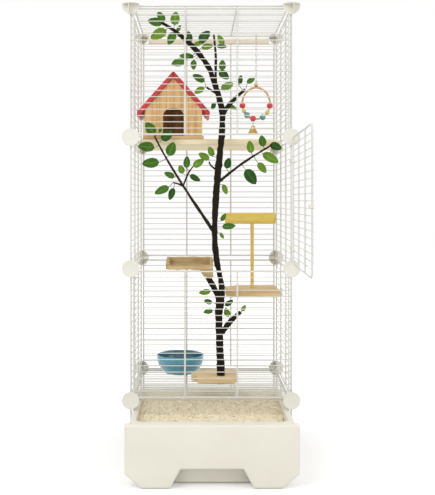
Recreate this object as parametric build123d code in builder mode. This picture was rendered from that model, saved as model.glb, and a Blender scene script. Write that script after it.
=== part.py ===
from build123d import *
import math
import os

os.makedirs("parts", exist_ok=True)

# Cage: x runs across, y to the back and z up, all in millimetres
bay = 440  # between the planes of facing walls, across and front to back
tier = 360  # from one ring of connectors up to the next
base_level = 192  # lowest connectors, above the floor
panel_gap = 5  # from the planes where walls cross to the edge of each panel

# Welded wire panels
rod = 4.8  # heavy wires of the rim and its two bars
wire = 2.4  # thin wires
bend = 9  # cut across each corner of a rim
wall_rows = 19  # thin wires of a wall
deck_rows = 15  # thin wires of the roof and the floor
skirt_rows = 9  # thin wires beside the drawer

# Plastic connectors
disc = 48  # diameter
disc_sides = 16
cap = 2.2  # thickness of a disc
seat = 0.3  # clearance between a connector and the panels that it holds
post_short = 1.5  # from the end of a connector's post to the edge of its disc

# Door: a wall panel hung in front of the connectors
door_open = 89  # degrees from shut, as it stands
door_lift = 6  # above the other panels
hinge_out = 4  # hinge wire outside the side wall's plane
door_gap = 0.9  # between a connector's disc and the shut door
clip_height = 7
clip_wall = 2.4
clip_bore = 5.75  # turns on a heavy wire
grip = 0.1  # between a clip and the wire that it grips
latch_slack = 0.6  # round the wire that the latch hooks
latch_mouth = 6.4
hinge_gaps = (2.5, 16.5)  # places of the two hinge clips, in rows of thin wire
latch_gap = 9.5

# Drawer: a front and a tray
front_width = 450
front_height = 164
front_depth = 22
front_round = 9
front_wall = 4
corner_width = 43  # cut at the lower corners of the front
corner_height = 37
notch_foot = 214  # hand notch at the floor
notch_top = 161
notch_height = 50
notch_round = 9
pulled_out = 121  # as it stands
drawer_gap = 2.1  # from the shut front to the feet
floor_gap = 1  # under the drawer
tray_depth = 400
tray_gap = 0.5  # from the tray's rim to the wires beside it
tray_wall = 3
tray_rim = 16
tray_skirt = 18
tray_draft = 3
tray_corner = 9  # cut across each corner
bedding_gap = 0.4
bedding_front = 138
bedding_back = 149
bedding_step = 128  # from the tray's front rim to the heap

# Shelf and batten
board = 16
board_width = 392
board_front = -85  # from the middle of the cage
board_rise = 5  # from the middle of the bolts up to the board's top
board_bolt = 110  # each side of the middle
batten = 15
batten_depth = 7.5

# Fixings
bolt = 5
washer = 24
washer_thick = 1.6
nut = 10
nut_high = 6
wing = 24
wing_thick = 2.4
wing_high = 10

# House
house_x = -107
house_front = -92  # front edge of the roof
house_plank = 9
house_plank_width = 176
house_width = 167
house_depth = 134
house_wall = 9
roof_span = 211
roof_depth = 150
roof_board = 13
roof_rise = 118
eaves_height = 50.5  # of the roof's lower face above the plank, at its edge
door_width = 60
door_height = 80
door_round = 24

# Branch, from the middle of the cage: x, y, z and thickness
trunk_points = (
    (33, -10, 217, 29),
    (30, -22, 294, 24),
    (26, -38, 390, 24),
    (30, -47, 446, 28),
    (34, -52, 480, 18),
    (29, -57, 515, 16),
    (19, -66, 565, 18),
    (12, -78, 640, 18),
    (15, -92, 725, 19),
    (20, -104, 805, 20),
    (28, -118, 885, 19),
    (33, -120, 940, 18),
    (33, -120, 990, 18),
    (25, -120, 1030, 17),
    (9, -128, 1078, 17),
    (-5, -140, 1114, 16),
    (-44, -158, 1164, 15),
    (-100, -174, 1211, 11),
    (-138, -183, 1233, 8),
)
stem_points = ((28, -47, 446, 20), (11, -53, 482, 19), (-8, -58, 516, 18))
stump_points = ((34, -31, 346, 20), (59, -36, 380, 17), (90, -41, 410, 11))
fork_points = ((36, -120, 985, 14), (58, -120, 1017, 13), (101, -120, 1058, 8))
spike_points = ((14, -126, 1066, 9), (14, -150, 1148, 7), (8, -168, 1205, 5))
spur_points = ((18, -120, 1044, 9), (-13, -120, 1062, 6))
left_points = ((12, -79, 645, 11), (-67, -98, 763, 8), (-124, -112, 855, 6), (-160, -120, 922, 5))
low_twig_points = ((-78, -99, 780, 6), (-95, -100, 787, 5), (-108, -101, 790, 4))
mid_twig_points = ((-78, -100, 782, 6), (-64, -106, 816, 5), (-50, -108, 836, 4))
right_points = ((24, -104, 792, 9), (93, -111, 846, 7), (176, -118, 898, 5))
twig_points = ((22, -110, 822, 6), (2, -111, 838, 5), (-4, -111, 850, 4))
branch_points = (
    trunk_points,
    stem_points,
    stump_points,
    fork_points,
    spike_points,
    spur_points,
    left_points,
    low_twig_points,
    mid_twig_points,
    right_points,
    twig_points,
)
block = 20
block_outline = ((-56, 12), (-34, -30), (70, -30), (83, -14), (83, 62), (66, 78), (-22, 78), (-48, 50))
screw = 5
screw_washer = 34

# Leaves: x and z of the middle, length, width and heading in degrees
leaf_thick = 1
stalk_gap = 0.5  # from the wood that a leaf grows from
leaves_upper = (
    (-156, 1236, 38, 26, 165, 5.4),
    (-139, 1249, 30, 20, 118, 1.1),
    (-99, 1246, 34, 26, 85, 0),
    (-146, 1201, 46, 28, -150, -1.1),
    (-110, 1190, 36, 22, -115, 0),
    (-89, 1219, 19, 10, 60, -1.1),
    (-17, 1199, 38, 27, 50, 0),
    (-9, 1171, 32, 18, 10, 1.1),
    (28, 1190, 30, 16, 115, 0),
    (32, 1172, 28, 12, 0, 1.1),
    (-60, 1198, 30, 16, 100, 0),
    (-32, 1180, 30, 14, 20, -1.1),
    (-68, 1144, 38, 18, 175, 0),
    (-48, 1120, 26, 17, -90, 1.1),
    (-92, 1126, 36, 23, -165, -1.1),
    (33, 1122, 27, 20, 85, 0),
    (38, 1094, 32, 22, -40, 1.1),
    (-34, 1088, 36, 20, 150, 0),
    (-32, 1053, 30, 19, -150, 4.4),
    (48, 1064, 36, 22, 25, 0),
    (64, 1005, 28, 13, -25, 8.4),
    (84, 1082, 27, 15, 75, -1.1),
    (116, 1082, 27, 16, 40, 0),
    (8, 1008, 20, 13, -110, 0),
)
leaves_middle = (
    (-172, 944, 38, 27, 125, 0),
    (-143, 941, 14, 10, 70, 1.1),
    (-124, 925, 38, 27, 45, 0),
    (-184, 892, 44, 28, 175, 1.1),
    (-112, 886, 38, 28, 70, 1.1),
    (1, 879, 28, 18, 110, 0),
    (114, 892, 33, 20, 100, 0),
    (148, 909, 30, 21, 100, 1.1),
    (188, 893, 34, 22, -20, 3.9),
    (172, 860, 48, 25, -30, -1.1),
    (-172, 846, 46, 27, -175, 0),
    (-84, 828, 24, 18, 110, -1.1),
    (-68, 849, 32, 19, 85, 0),
    (-34, 846, 34, 21, 35, 1.1),
    (-44, 803, 32, 16, -30, 0),
    (-19, 865, 32, 19, 150, -1.1),
    (50, 846, 30, 20, 75, 1.1),
    (116, 806, 48, 30, -55, 0),
    (148, 832, 34, 20, -50, 1.1),
    (-118, 812, 30, 17, 155, 1.1),
    (-140, 768, 42, 22, -155, 0),
    (-112, 757, 34, 18, -110, 1.1),
    (42, 770, 28, 15, -70, 0),
)
leaves_lower = (
    (38, 690, 23, 13, 60, 0),
    (54, 664, 36, 18, 5, 1.1),
    (34, 636, 18, 10, -60, 0),
    (-16, 470, 32, 17, -170, 0),
    (-6, 441, 24, 15, 160, 1.1),
    (-6, 412, 26, 15, -170, 0),
    (56, 437, 27, 15, 35, 0),
    (50, 408, 26, 18, 110, 1.1),
    (99, 421, 20, 12, 60, 0),
)

# Ledge on the left stem
ledge_left = -128
ledge_right = 8
ledge_front = -112
ledge_depth = 118
ledge_wall = 9
ledge_floor = 6
ledge_lip = 12
ledge_back = 30
ledge_under = 540
bracket_left = -30
bracket_right = 8
bracket_deep = 44

# Corner shelf and perch
corner_board = 21
corner_board_gap = 14.5  # height of its bolts, in rows of thin wire
corner_drop = 7  # from the bolts to the board's lower face
corner_left = 51
corner_front = 48
corner_cut = 40
corner_bolt = 130  # along each wall, from the middle
perch_x = 136
perch_y = 138
perch_thick = 11
perch_axis = 682
roll = 35
roll_wall = 2.5
roll_sides = 16
roll_length = 158
roll_turn = -12
roll_x = 130

# Swing, hung from a thin wire of the roof
swing_x = 150
swing_row = 6  # thin wire of the roof that carries it, counted back from the middle
hook_wire = 2.2
hook_width = 8
hook_length = 18
link_wire = 1.4
link_long = 14
link_wide = 6.4
links = 12
play = 0.35
knob = 12
knob_high = 12
hoop = 7
hoop_wide = 88
hoop_high = 100
hoop_sides = 20
bead_angles = {"red": (-82, -13, 81), "teal": (-42, 28), "yellow": (-62, 54)}
bead_sizes = {"red": 20, "teal": 20, "yellow": 15}
bead_share = 0.4  # half a bead's length to its thickness
bead_taper = 24
eye_long = 8
eye_wide = 6.4
bell_wide = 36
bell_high = 26
bell_crown = 6.5
bell_wall = 1.6
clapper = 7
clapper_long = 19
clapper_gap = 0.8

# Bowl
bowl_gap = 0.2
bowl_x = -91
bowl_y = 132
bowl_rim = 149
bowl_foot = 98
bowl_high = 57
bowl_wall = 5
bowl_belly = 0.72  # share of the way from the foot's radius to the rim's
bowl_belly_high = 0.42

# Planes and places that the pieces share
cage_half = bay / 2
panel = bay - 2 * panel_gap
storey = tier - 2 * panel_gap
levels = [base_level + tier * n for n in range(4)]
tip = rod / math.sqrt(3)
skin = rod / 2 + seat
post_half = panel_gap - seat
post_high = disc / 2 - post_short
hinge_drop = skin + cap + door_gap + rod / 2
door_reach = panel - 2 * tip
ring = clip_bore / 2 + clip_wall
swing_out = math.radians(door_open)
front_reach = cage_half + hinge_drop + door_reach * math.sin(swing_out) + ring
middle = (front_reach - cage_half - disc / 2) / 2
front, back = middle - cage_half, middle + cage_half
inner = cage_half - rod / 2 - wire
deck_top = base_level + rod / 2 + wire
edge_wire = panel_gap + tip
row_pitch = (tier - 2 * edge_wire) / (wall_rows + 1)
deck_pitch = (bay - 2 * edge_wire) / (deck_rows + 1)


def row_height(level, rows):
    """Height above the floor of a row of thin wires in the walls that stand on a level."""
    return level + edge_wire + row_pitch * rows


def wire_panel(width, height, rows):
    """A welded panel on the XY plane: its rim and two bars, with thin wires on top of them."""
    x, y = width / 2 - tip, height / 2 - tip
    with BuildPart() as heavy:
        with BuildLine():
            rim = Polyline(
                (bend - x, -y),
                (x - bend, -y),
                (x, bend - y),
                (x, y - bend),
                (x - bend, y),
                (bend - x, y),
                (-x, y - bend),
                (-x, bend - y),
                close=True,
            )
        with BuildSketch(Plane(origin=(0, -y, 0), x_dir=(0, 1, 0), z_dir=(1, 0, 0))):
            RegularPolygon(rod / 2, 6, major_radius=False)
        sweep(path=rim, transition=Transition.RIGHT)
        with BuildSketch(Plane.XZ):
            with Locations((-width / 6, 0), (width / 6, 0)):
                RegularPolygon(rod / 2, 6, major_radius=False)
        extrude(amount=y, both=True)
    pitch = 2 * y / (rows + 1)
    with BuildPart() as thin:
        with BuildSketch(Plane.YZ):
            with Locations(*[(pitch * n - y, (rod + wire) / 2) for n in range(1, rows + 1)]):
                Rectangle(wire, wire)
        extrude(amount=x, both=True)
    return Compound(heavy.part.solids() + thin.part.solids())


def wall_plane(side, height):
    """The plane of a wall, facing into the cage, at the height of a panel's middle."""
    x, y, along, inward = {
        "front": (0, front, (1, 0, 0), (0, 1, 0)),
        "back": (0, back, (1, 0, 0), (0, -1, 0)),
        "left": (-cage_half, middle, (0, 1, 0), (1, 0, 0)),
        "right": (cage_half, middle, (0, 1, 0), (-1, 0, 0)),
    }[side]
    return Plane(origin=(x, y, height), x_dir=along, z_dir=inward)


# Walls, roof and floor
wall = wire_panel(panel, storey, wall_rows)
for side in ("front", "back", "left", "right"):
    for height, level in zip(("bottom", "middle", "top"), levels):
        if (side, height) != ("front", "middle"):
            piece = wall.moved(wall_plane(side, level + tier / 2).location)
            piece.label = f"{side}_panel_{height}"
            export_step(piece, f"parts/{piece.label}.step")

skirt_high = base_level - 2 * panel_gap
skirt = wire_panel(panel, skirt_high, skirt_rows)
for side in ("back", "left", "right"):
    piece = skirt.moved(wall_plane(side, panel_gap + skirt_high / 2).location)
    piece.label = f"base_panel_{side}"
    export_step(piece, f"parts/{piece.label}.step")

deck = wire_panel(panel, panel, deck_rows)
for name, height, facing in (("roof_panel", levels[3], -1), ("floor_panel", base_level, 1)):
    piece = deck.moved(Plane(origin=(0, middle, height), x_dir=(1, 0, 0), z_dir=(0, 0, facing)).location)
    piece.label = name
    export_step(piece, f"parts/{name}.step")


# Connectors: the one at the front left of a level, mirrored to the other corners
def front_cap(level):
    """The plane behind the disc that faces forward."""
    return Plane(origin=(-cage_half, front - skin, level), x_dir=(1, 0, 0), z_dir=(0, -1, 0))


def side_cap(level):
    """The plane inside the disc that faces left; its x runs forward."""
    return Plane(origin=(-cage_half - skin, front, level), x_dir=(0, -1, 0), z_dir=(-1, 0, 0))


def cross(level, top):
    """The post between the panels of a corner and the ribs between storeys."""
    with BuildPart() as piece:
        with BuildSketch(Plane.XY.offset(level - post_high)):
            with Locations((-cage_half, front)):
                Rectangle(2 * post_half, 2 * post_half)
        extrude(amount=post_high + top)
        with BuildSketch(Plane.XY.offset(level - post_half)):
            with Locations((-cage_half, front - skin)):
                Rectangle(post_high, skin + post_half, align=(Align.MIN, Align.MIN))
            with Locations((-cage_half - skin, front)):
                Rectangle(skin + post_half, post_high, align=(Align.MIN, Align.MIN))
        extrude(amount=2 * post_half)
    return piece.part


def to_all_corners():
    """Copy what stands at the front left corner to the other three."""
    mirror(about=Plane.YZ)
    mirror(about=Plane.XZ.offset(-middle))


with BuildPart() as top_connectors:
    add(cross(levels[3], post_half))
    with BuildSketch(Plane.XY.offset(levels[3] + skin)):
        with Locations((-cage_half, front)):
            RegularPolygon(disc / 2, disc_sides)
    extrude(amount=cap)
    for plane in (front_cap(levels[3]), side_cap(levels[3])):
        with BuildSketch(plane):
            RegularPolygon(disc / 2, disc_sides)
            with Locations((0, skin)):
                Rectangle(disc, disc, align=(Align.CENTER, Align.MIN), mode=Mode.SUBTRACT)
        extrude(amount=cap)
    to_all_corners()

top_connectors.part.label = "top_connectors"
export_step(top_connectors.part, "parts/top_connectors.step")


def wall_connector(level):
    """A connector between storeys: a whole disc in front and the back half of one at the side."""
    with BuildPart() as piece:
        add(cross(level, post_high))
        with BuildSketch(front_cap(level)):
            RegularPolygon(disc / 2, disc_sides)
        extrude(amount=cap)
        with BuildSketch(side_cap(level)):
            RegularPolygon(disc / 2, disc_sides)
            with Locations((skin, 0)):
                Rectangle(disc, disc, align=(Align.MIN, Align.CENTER), mode=Mode.SUBTRACT)
        extrude(amount=cap)
    return piece.part


with BuildPart() as upper_connectors:
    add(wall_connector(levels[2]))
    to_all_corners()

upper_connectors.part.label = "upper_connectors"
export_step(upper_connectors.part, "parts/upper_connectors.step")

with BuildPart() as lower_connectors:
    add(wall_connector(levels[1]))
    to_all_corners()

lower_connectors.part.label = "lower_connectors"
export_step(lower_connectors.part, "parts/lower_connectors.step")

with BuildPart() as base_connectors:
    add(wall_connector(base_level))
    with BuildSketch(Plane.XY.offset(base_level - skin - cap)):
        with Locations((-cage_half, front)):
            RegularPolygon(disc / 2, disc_sides)
            Rectangle(disc, disc, align=(Align.MIN, Align.MIN), mode=Mode.INTERSECT)
    extrude(amount=cap)
    to_all_corners()

base_connectors.part.label = "base_connectors"
export_step(base_connectors.part, "parts/base_connectors.step")

with BuildPart() as foot_caps:
    with BuildSketch():
        with Locations((-cage_half, front)):
            Rectangle(2 * post_half, 2 * post_half)
    extrude(amount=post_high)
    with BuildSketch():
        with Locations((-cage_half - skin, front)):
            Rectangle(skin + post_half, post_high, align=(Align.MIN, Align.MIN))
    extrude(amount=post_half)
    with BuildSketch(side_cap(0)):
        RegularPolygon(disc / 2, disc_sides)
        with Locations((skin, 0)):
            Rectangle(disc, disc, align=(Align.MAX, Align.MIN), mode=Mode.INTERSECT)
    extrude(amount=cap)
    mirror(about=Plane.XZ.offset(-middle))
    with BuildSketch():
        with Locations((-cage_half, back + skin)):
            Rectangle(post_high, skin + post_half, align=(Align.MIN, Align.MAX))
    extrude(amount=post_half)
    mirror(about=Plane.YZ)

foot_caps.part.label = "foot_caps"
export_step(foot_caps.part, "parts/foot_caps.step")

with BuildPart() as rear_batten:
    with BuildSketch(Plane.XY.offset(levels[3] - edge_wire - wire / 2 - seat - batten)):
        with Locations((0, back - cage_half + inner - seat)):
            Rectangle(board_width, batten_depth, align=(Align.CENTER, Align.MAX))
    extrude(amount=batten)
    chamfer(rear_batten.edges().filter_by(Axis.X), 1)

rear_batten.part.label = "rear_batten"
export_step(rear_batten.part, "parts/rear_batten.step")

# Door: drawn shut and then swung out about the wire that its clips hold
hinge_x, hinge_y = cage_half + hinge_out, front - hinge_drop
door_axis = Axis((hinge_x, hinge_y, 0), (0, 0, 1))
door_middle = levels[1] + tier / 2 + door_lift
shut = Plane(origin=(hinge_x - door_reach / 2, hinge_y, door_middle), x_dir=(1, 0, 0), z_dir=(0, -1, 0))
door_panel = wall.moved(shut.location).rotate(door_axis, door_open)
door_panel.label = "door_panel"
export_step(door_panel, "parts/door_panel.step")

clip_y = front + edge_wire
clip_span = math.hypot(hinge_out, clip_y - hinge_y)
clip_turn = math.degrees(math.atan2(hinge_y - clip_y, hinge_out))
with BuildPart() as door_hinge_clips:
    for gap in hinge_gaps:
        height = row_height(levels[1], gap) + (door_lift - clip_height) / 2
        with BuildSketch(Plane.XY.offset(height)):
            with Locations((cage_half + hinge_out / 2, (clip_y + hinge_y) / 2)):
                SlotCenterToCenter(clip_span, 2 * ring, rotation=clip_turn)
            with Locations((cage_half, clip_y)):
                RegularPolygon(rod / 2 + grip, 6, major_radius=False, rotation=90, mode=Mode.SUBTRACT)
            with Locations((hinge_x, hinge_y)):
                Circle(clip_bore / 2, mode=Mode.SUBTRACT)
        extrude(amount=clip_height)

door_hinge_clips.part.label = "door_hinge_clips"
export_step(door_hinge_clips.part, "parts/door_hinge_clips.step")

latch_x = hinge_x - door_reach
latch_span = math.hypot(latch_x + cage_half, clip_y - hinge_y)
latch_height = row_height(levels[1], latch_gap) + (door_lift - clip_height) / 2
with BuildPart() as shut_latch:
    with BuildSketch(Plane.XY.offset(latch_height)):
        with Locations((latch_x + latch_span / 2, hinge_y)):
            SlotCenterToCenter(latch_span, 2 * ring)
        with Locations((latch_x, hinge_y)):
            Circle(clip_bore / 2, mode=Mode.SUBTRACT)
        with Locations((latch_x + latch_span - latch_slack / 2, hinge_y + rod / 2 + latch_slack)):
            Rectangle(latch_mouth, disc, align=(Align.CENTER, Align.MAX), mode=Mode.SUBTRACT)
    extrude(amount=clip_height)
door_latch = shut_latch.part.rotate(door_axis, door_open)
door_latch.label = "door_latch"
export_step(door_latch, "parts/door_latch.step")

# Drawer, as far out as it stands
drawer_y = front - skin - cap - drawer_gap - pulled_out
with BuildPart() as drawer_front:
    with BuildSketch(Plane.XZ.offset(-drawer_y)) as outline:
        with BuildLine():
            Polyline(
                (0, notch_height),
                (notch_top / 2, notch_height),
                (notch_foot / 2, floor_gap),
                (front_width / 2 - corner_width, floor_gap),
                (front_width / 2, corner_height),
                (front_width / 2, front_height),
                (0, front_height),
            )
            mirror(about=Plane.YZ)
        make_face()
        fillet(outline.vertices().filter_by_position(Axis.Z, notch_height, notch_height), notch_round)
    extrude(amount=front_depth)
    with BuildSketch(Plane.XZ.offset(-drawer_y)):
        add(outline.sketch)
        offset(amount=-front_wall, mode=Mode.REPLACE)
    extrude(amount=front_depth - front_wall, mode=Mode.SUBTRACT)
    lip = drawer_front.edges().filter_by(Axis.X).group_by(Axis.Z)[-1].sort_by(Axis.Y)[0]
    fillet(lip, front_round)

drawer_front.part.label = "drawer_front"
export_step(drawer_front.part, "parts/drawer_front.step")

tray_y = drawer_y + tray_depth / 2
tray_width = 2 * (inner - tray_gap)
tray_top = Plane(origin=(0, tray_y, front_height), x_dir=(1, 0, 0), z_dir=(0, 0, -1))


def tray_outline(inset, mode=Mode.ADD):
    """The tray's outline, seen from above and drawn in by an inset."""
    x, y = tray_width / 2 - inset, tray_depth / 2 - inset
    cut = tray_corner
    Polygon(
        (x, y - cut),
        (x - cut, y),
        (cut - x, y),
        (-x, y - cut),
        (-x, cut - y),
        (cut - x, -y),
        (x - cut, -y),
        (x, cut - y),
        align=None,
        mode=mode,
    )


with BuildPart() as drawer_tray:
    with BuildSketch(tray_top):
        tray_outline(tray_rim - tray_wall)
    extrude(amount=front_height - floor_gap, taper=tray_draft)
    with BuildSketch(tray_top):
        tray_outline(0)
    extrude(amount=tray_skirt)
    with BuildSketch(tray_top.offset(tray_wall)):
        tray_outline(tray_wall)
        tray_outline(tray_rim - tray_wall, mode=Mode.SUBTRACT)
    extrude(amount=tray_skirt, mode=Mode.SUBTRACT)
    with BuildSketch(tray_top):
        tray_outline(tray_rim)
    extrude(amount=front_height - floor_gap - tray_wall, taper=tray_draft, mode=Mode.SUBTRACT)

drawer_tray.part.label = "drawer_tray"
export_step(drawer_tray.part, "parts/drawer_tray.step")

heap_start = drawer_y + tray_rim
heap_end = drawer_y + tray_depth
with BuildPart() as bedding:
    with BuildSketch(tray_top):
        tray_outline(tray_rim + bedding_gap)
    extrude(amount=front_height - floor_gap - tray_wall - bedding_gap, taper=tray_draft)
    with BuildSketch(Plane.YZ):
        with BuildLine():
            Polyline(
                (heap_start, bedding_front - 3),
                (heap_start + 30, bedding_front),
                (heap_start + bedding_step - 40, bedding_front - 2),
                (heap_start + bedding_step, bedding_back),
                (heap_start + bedding_step + 90, bedding_back + 3),
                (heap_end, bedding_back - 4),
                (heap_end, front_height + disc),
                (heap_start, front_height + disc),
                close=True,
            )
        make_face()
    extrude(amount=cage_half, both=True, mode=Mode.SUBTRACT)

bedding.part.label = "bedding"
export_step(bedding.part, "parts/bedding.step")

# Shelf: its bolts pass between the rims of the panels behind it
shelf_top = levels[2] + board_rise
with BuildPart() as shelf_board:
    with BuildSketch(Plane.XY.offset(shelf_top - board)):
        with Locations((0, middle + board_front)):
            shelf_depth = cage_half - skin - board_front
            Rectangle(board_width, shelf_depth, align=(Align.CENTER, Align.MIN))
    extrude(amount=board)
    chamfer(shelf_board.edges().filter_by(Axis.X).group_by(Axis.Y)[0], 1.5)

shelf_board.part.label = "shelf_board"
export_step(shelf_board.part, "parts/shelf_board.step")


def wing_bolt(start, reach):
    """A bolt out of a board along the plane's z, its washer at a reach and a wing nut on it."""
    with BuildPart() as piece:
        with BuildSketch(start):
            RegularPolygon(bolt / 2, 6)
        extrude(amount=reach + washer_thick + nut_high + bolt / 2)
        with BuildSketch(start.offset(reach)):
            RegularPolygon(washer / 2, 10)
        extrude(amount=washer_thick)
        with BuildSketch(start.offset(reach + washer_thick)):
            RegularPolygon(nut / 2, 6)
        extrude(amount=nut_high)
        with BuildSketch(start.offset(reach + washer_thick + nut_high / 3)):
            Rectangle(wing, wing_thick)
        extrude(amount=wing_high)
    return piece.part


with BuildPart() as shelf_fixings:
    for x in (-board_bolt, board_bolt):
        add(wing_bolt(Plane(origin=(x, back - skin, levels[2]), z_dir=(0, 1, 0)), 2 * skin - seat / 2))

shelf_fixings.part.label = "shelf_fixings"
export_step(shelf_fixings.part, "parts/shelf_fixings.step")

# House
house_y = middle + house_front
plank_top = shelf_top + house_plank
wall_front = house_y + (roof_depth - house_depth) / 2
slope = math.atan2(roof_rise, roof_span / 2)
board_drop = roof_board / math.cos(slope)
ridge = plank_top + eaves_height + roof_rise + board_drop
gable = [
    (-house_width / 2, plank_top),
    (house_width / 2, plank_top),
    (house_width / 2, ridge - board_drop - seat - house_width / 2 * math.tan(slope)),
    (0, ridge - board_drop - seat),
    (-house_width / 2, ridge - board_drop - seat - house_width / 2 * math.tan(slope)),
]


def house_plane(y):
    """An upright plane across the house that faces forward, its x measured from the house's middle."""
    return Plane(origin=(house_x, y, 0), x_dir=(1, 0, 0), z_dir=(0, -1, 0))


with BuildPart() as house_base:
    with BuildSketch(Plane.XY.offset(shelf_top)):
        with Locations((house_x, wall_front - 3)):
            Rectangle(house_plank_width, house_depth + 6, align=(Align.CENTER, Align.MIN))
    extrude(amount=house_plank)

house_base.part.label = "house_base"
export_step(house_base.part, "parts/house_base.step")

with BuildPart() as house_front_wall:
    with BuildSketch(house_plane(wall_front + house_wall)):
        Polygon(*gable, align=None)
        with BuildSketch(mode=Mode.PRIVATE) as doorway:
            with Locations((0, plank_top)):
                Rectangle(door_width, 2 * door_height)
            fillet(doorway.vertices().group_by(Axis.Y)[-1], door_round)
        add(doorway.sketch, mode=Mode.SUBTRACT)
    extrude(amount=house_wall)

house_front_wall.part.label = "house_front_wall"
export_step(house_front_wall.part, "parts/house_front_wall.step")

with BuildPart() as house_back_wall:
    with BuildSketch(house_plane(wall_front + house_depth)):
        Polygon(*gable, align=None)
    extrude(amount=house_wall)

house_back_wall.part.label = "house_back_wall"
export_step(house_back_wall.part, "parts/house_back_wall.step")

with BuildPart() as house_side_walls:
    with BuildSketch(house_plane(wall_front + house_depth - house_wall)):
        Polygon(*gable, align=None)
        Rectangle(house_width - 2 * house_wall, 2 * ridge, mode=Mode.SUBTRACT)
    extrude(amount=house_depth - 2 * house_wall)

house_side_walls.part.label = "house_side_walls"
export_step(house_side_walls.part, "parts/house_side_walls.step")

for name, way in (("house_roof_left", -1), ("house_roof_right", 1)):
    with BuildPart() as roof:
        with BuildSketch(house_plane(house_y + roof_depth)):
            eave = way * roof_span / 2
            lower = ridge - roof_rise
            Polygon(
                (way * seat / 2, ridge),
                (eave, lower),
                (eave, lower - board_drop),
                (way * seat / 2, ridge - board_drop),
                align=None,
            )
        extrude(amount=roof_depth)
        tips = roof.edges().filter_by(Axis.Y).group_by(Axis.X)[0 if way < 0 else -1]
        fillet(tips, roof_board * 0.3)
    roof.part.label = name
    export_step(roof.part, f"parts/{name}.step")


# Branch, standing on its block
def limb(points):
    """A stick through level six-sided sections."""
    with BuildPart() as stick:
        for x, y, z, thick in points:
            with BuildSketch(Plane(origin=(x, middle + y, z), x_dir=(1, 0, 0), z_dir=(0, 0, 1))):
                RegularPolygon(thick / 2, 6)
        loft(ruled=True)
    return stick.part


with BuildPart() as branch:
    for points in branch_points:
        add(limb(points))

branch.part.label = "branch"
export_step(branch.part, "parts/branch.step")

block_top = trunk_points[0][2]
with BuildPart() as branch_base:
    with BuildSketch(Plane.XY.offset(deck_top)):
        with Locations((0, middle)):
            Polygon(*block_outline, align=None)
    extrude(amount=block_top - deck_top)
    with BuildSketch(Plane.XY.offset(deck_top)):
        with Locations((trunk_points[0][0], middle + trunk_points[0][1])):
            RegularPolygon(screw / 2 + grip, 6)
    extrude(amount=block_top - deck_top, mode=Mode.SUBTRACT)

branch_base.part.label = "branch_base"
export_step(branch_base.part, "parts/branch_base.step")

washer_top = base_level + rod / 2
with BuildPart() as branch_screw:
    washer_face = Plane(origin=(trunk_points[0][0], middle + trunk_points[0][1], washer_top - washer_thick))
    with BuildSketch(washer_face):
        RegularPolygon(screw_washer / 2, 12)
    extrude(amount=washer_thick)
    with BuildSketch(washer_face):
        RegularPolygon(screw / 2, 6)
    extrude(amount=block_top - washer_top + washer_thick - grip)
    with BuildSketch(washer_face):
        RegularPolygon(screw, 6)
    extrude(amount=-screw / 2)

branch_screw.part.label = "branch_screw"
export_step(branch_screw.part, "parts/branch_screw.step")


# Leaves
def nearest_wood(x, z):
    """The nearest place on the wood's middle line, seen from the front: x, y and z."""
    found = []
    for points in branch_points:
        for low, high in zip(points, points[1:]):
            run, rise = high[0] - low[0], high[2] - low[2]
            share = ((x - low[0]) * run + (z - low[2]) * rise) / (run**2 + rise**2)
            place = [a + (b - a) * max(0, min(1, share)) for a, b in zip(low, high)]
            width = place[3] / 2 * rise / math.hypot(run, rise)
            found.append((math.hypot(x - place[0], z - place[2]) - width, *place[:3]))
    return min(found)[1:]


def leaf(x, z, length, width, heading, shift):
    """A flat leaf, drawn out at its foot to the wood that it grows from, on an upright plane through it."""
    turn = math.radians(heading)
    base = Vector(x - length / 2 * math.cos(turn), z - length / 2 * math.sin(turn))
    wood_x, wood_y, wood_z = nearest_wood(base.X, base.Y)
    stem = Vector(wood_x, wood_z) - base
    reach = 0
    for _ in range(4):
        end = base + stem.normalized() * reach
        air = branch.part.distance_to(Vertex(end.X, middle + wood_y + shift - leaf_thick / 2, end.Y))
        reach += max(0, air - stalk_gap)
    foot = (stem.normalized() * reach).rotate(Axis.Z, -heading)
    with BuildPart() as blade:
        with BuildSketch(Plane.XZ.offset(-middle - wood_y - shift)):
            with Locations(Location((base.X, base.Y), heading)):
                Polygon(
                    (foot.X, foot.Y),
                    (0.28 * length, -0.46 * width),
                    (0.66 * length, -0.42 * width),
                    (length, 0),
                    (0.66 * length, 0.42 * width),
                    (0.28 * length, 0.46 * width),
                    align=None,
                )
        extrude(amount=leaf_thick)
    return blade.part.solids()


for name, leaves in (
    ("leaves_upper", leaves_upper),
    ("leaves_middle", leaves_middle),
    ("leaves_lower", leaves_lower),
):
    spray = Compound([solid for row in leaves for solid in leaf(*row)])
    spray.label = name
    export_step(spray, f"parts/{name}.step")

# Ledge
ledge_y = middle + ledge_front
with BuildPart() as ledge_tray:
    with BuildSketch(Plane.YZ.offset(ledge_left)):
        with Locations((ledge_y, ledge_under)):
            Polygon(
                (0, 0),
                (ledge_depth, 0),
                (ledge_depth, ledge_back),
                (ledge_depth - ledge_wall, ledge_back),
                (0, ledge_lip),
                align=None,
            )
    extrude(amount=ledge_right - ledge_left)
    with BuildSketch(Plane.XY.offset(ledge_under + ledge_floor)):
        with Locations((ledge_left + ledge_wall, ledge_y + ledge_wall)):
            inside = ledge_right - ledge_left - 2 * ledge_wall
            Rectangle(inside, ledge_depth - 2 * ledge_wall, align=(Align.MIN, Align.MIN))
    extrude(amount=ledge_back, mode=Mode.SUBTRACT)
    chamfer(ledge_tray.edges().filter_by(Axis.Z).group_by(Axis.X)[0], 8)

ledge_tray.part.label = "ledge_tray"
export_step(ledge_tray.part, "parts/ledge_tray.step")

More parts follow.
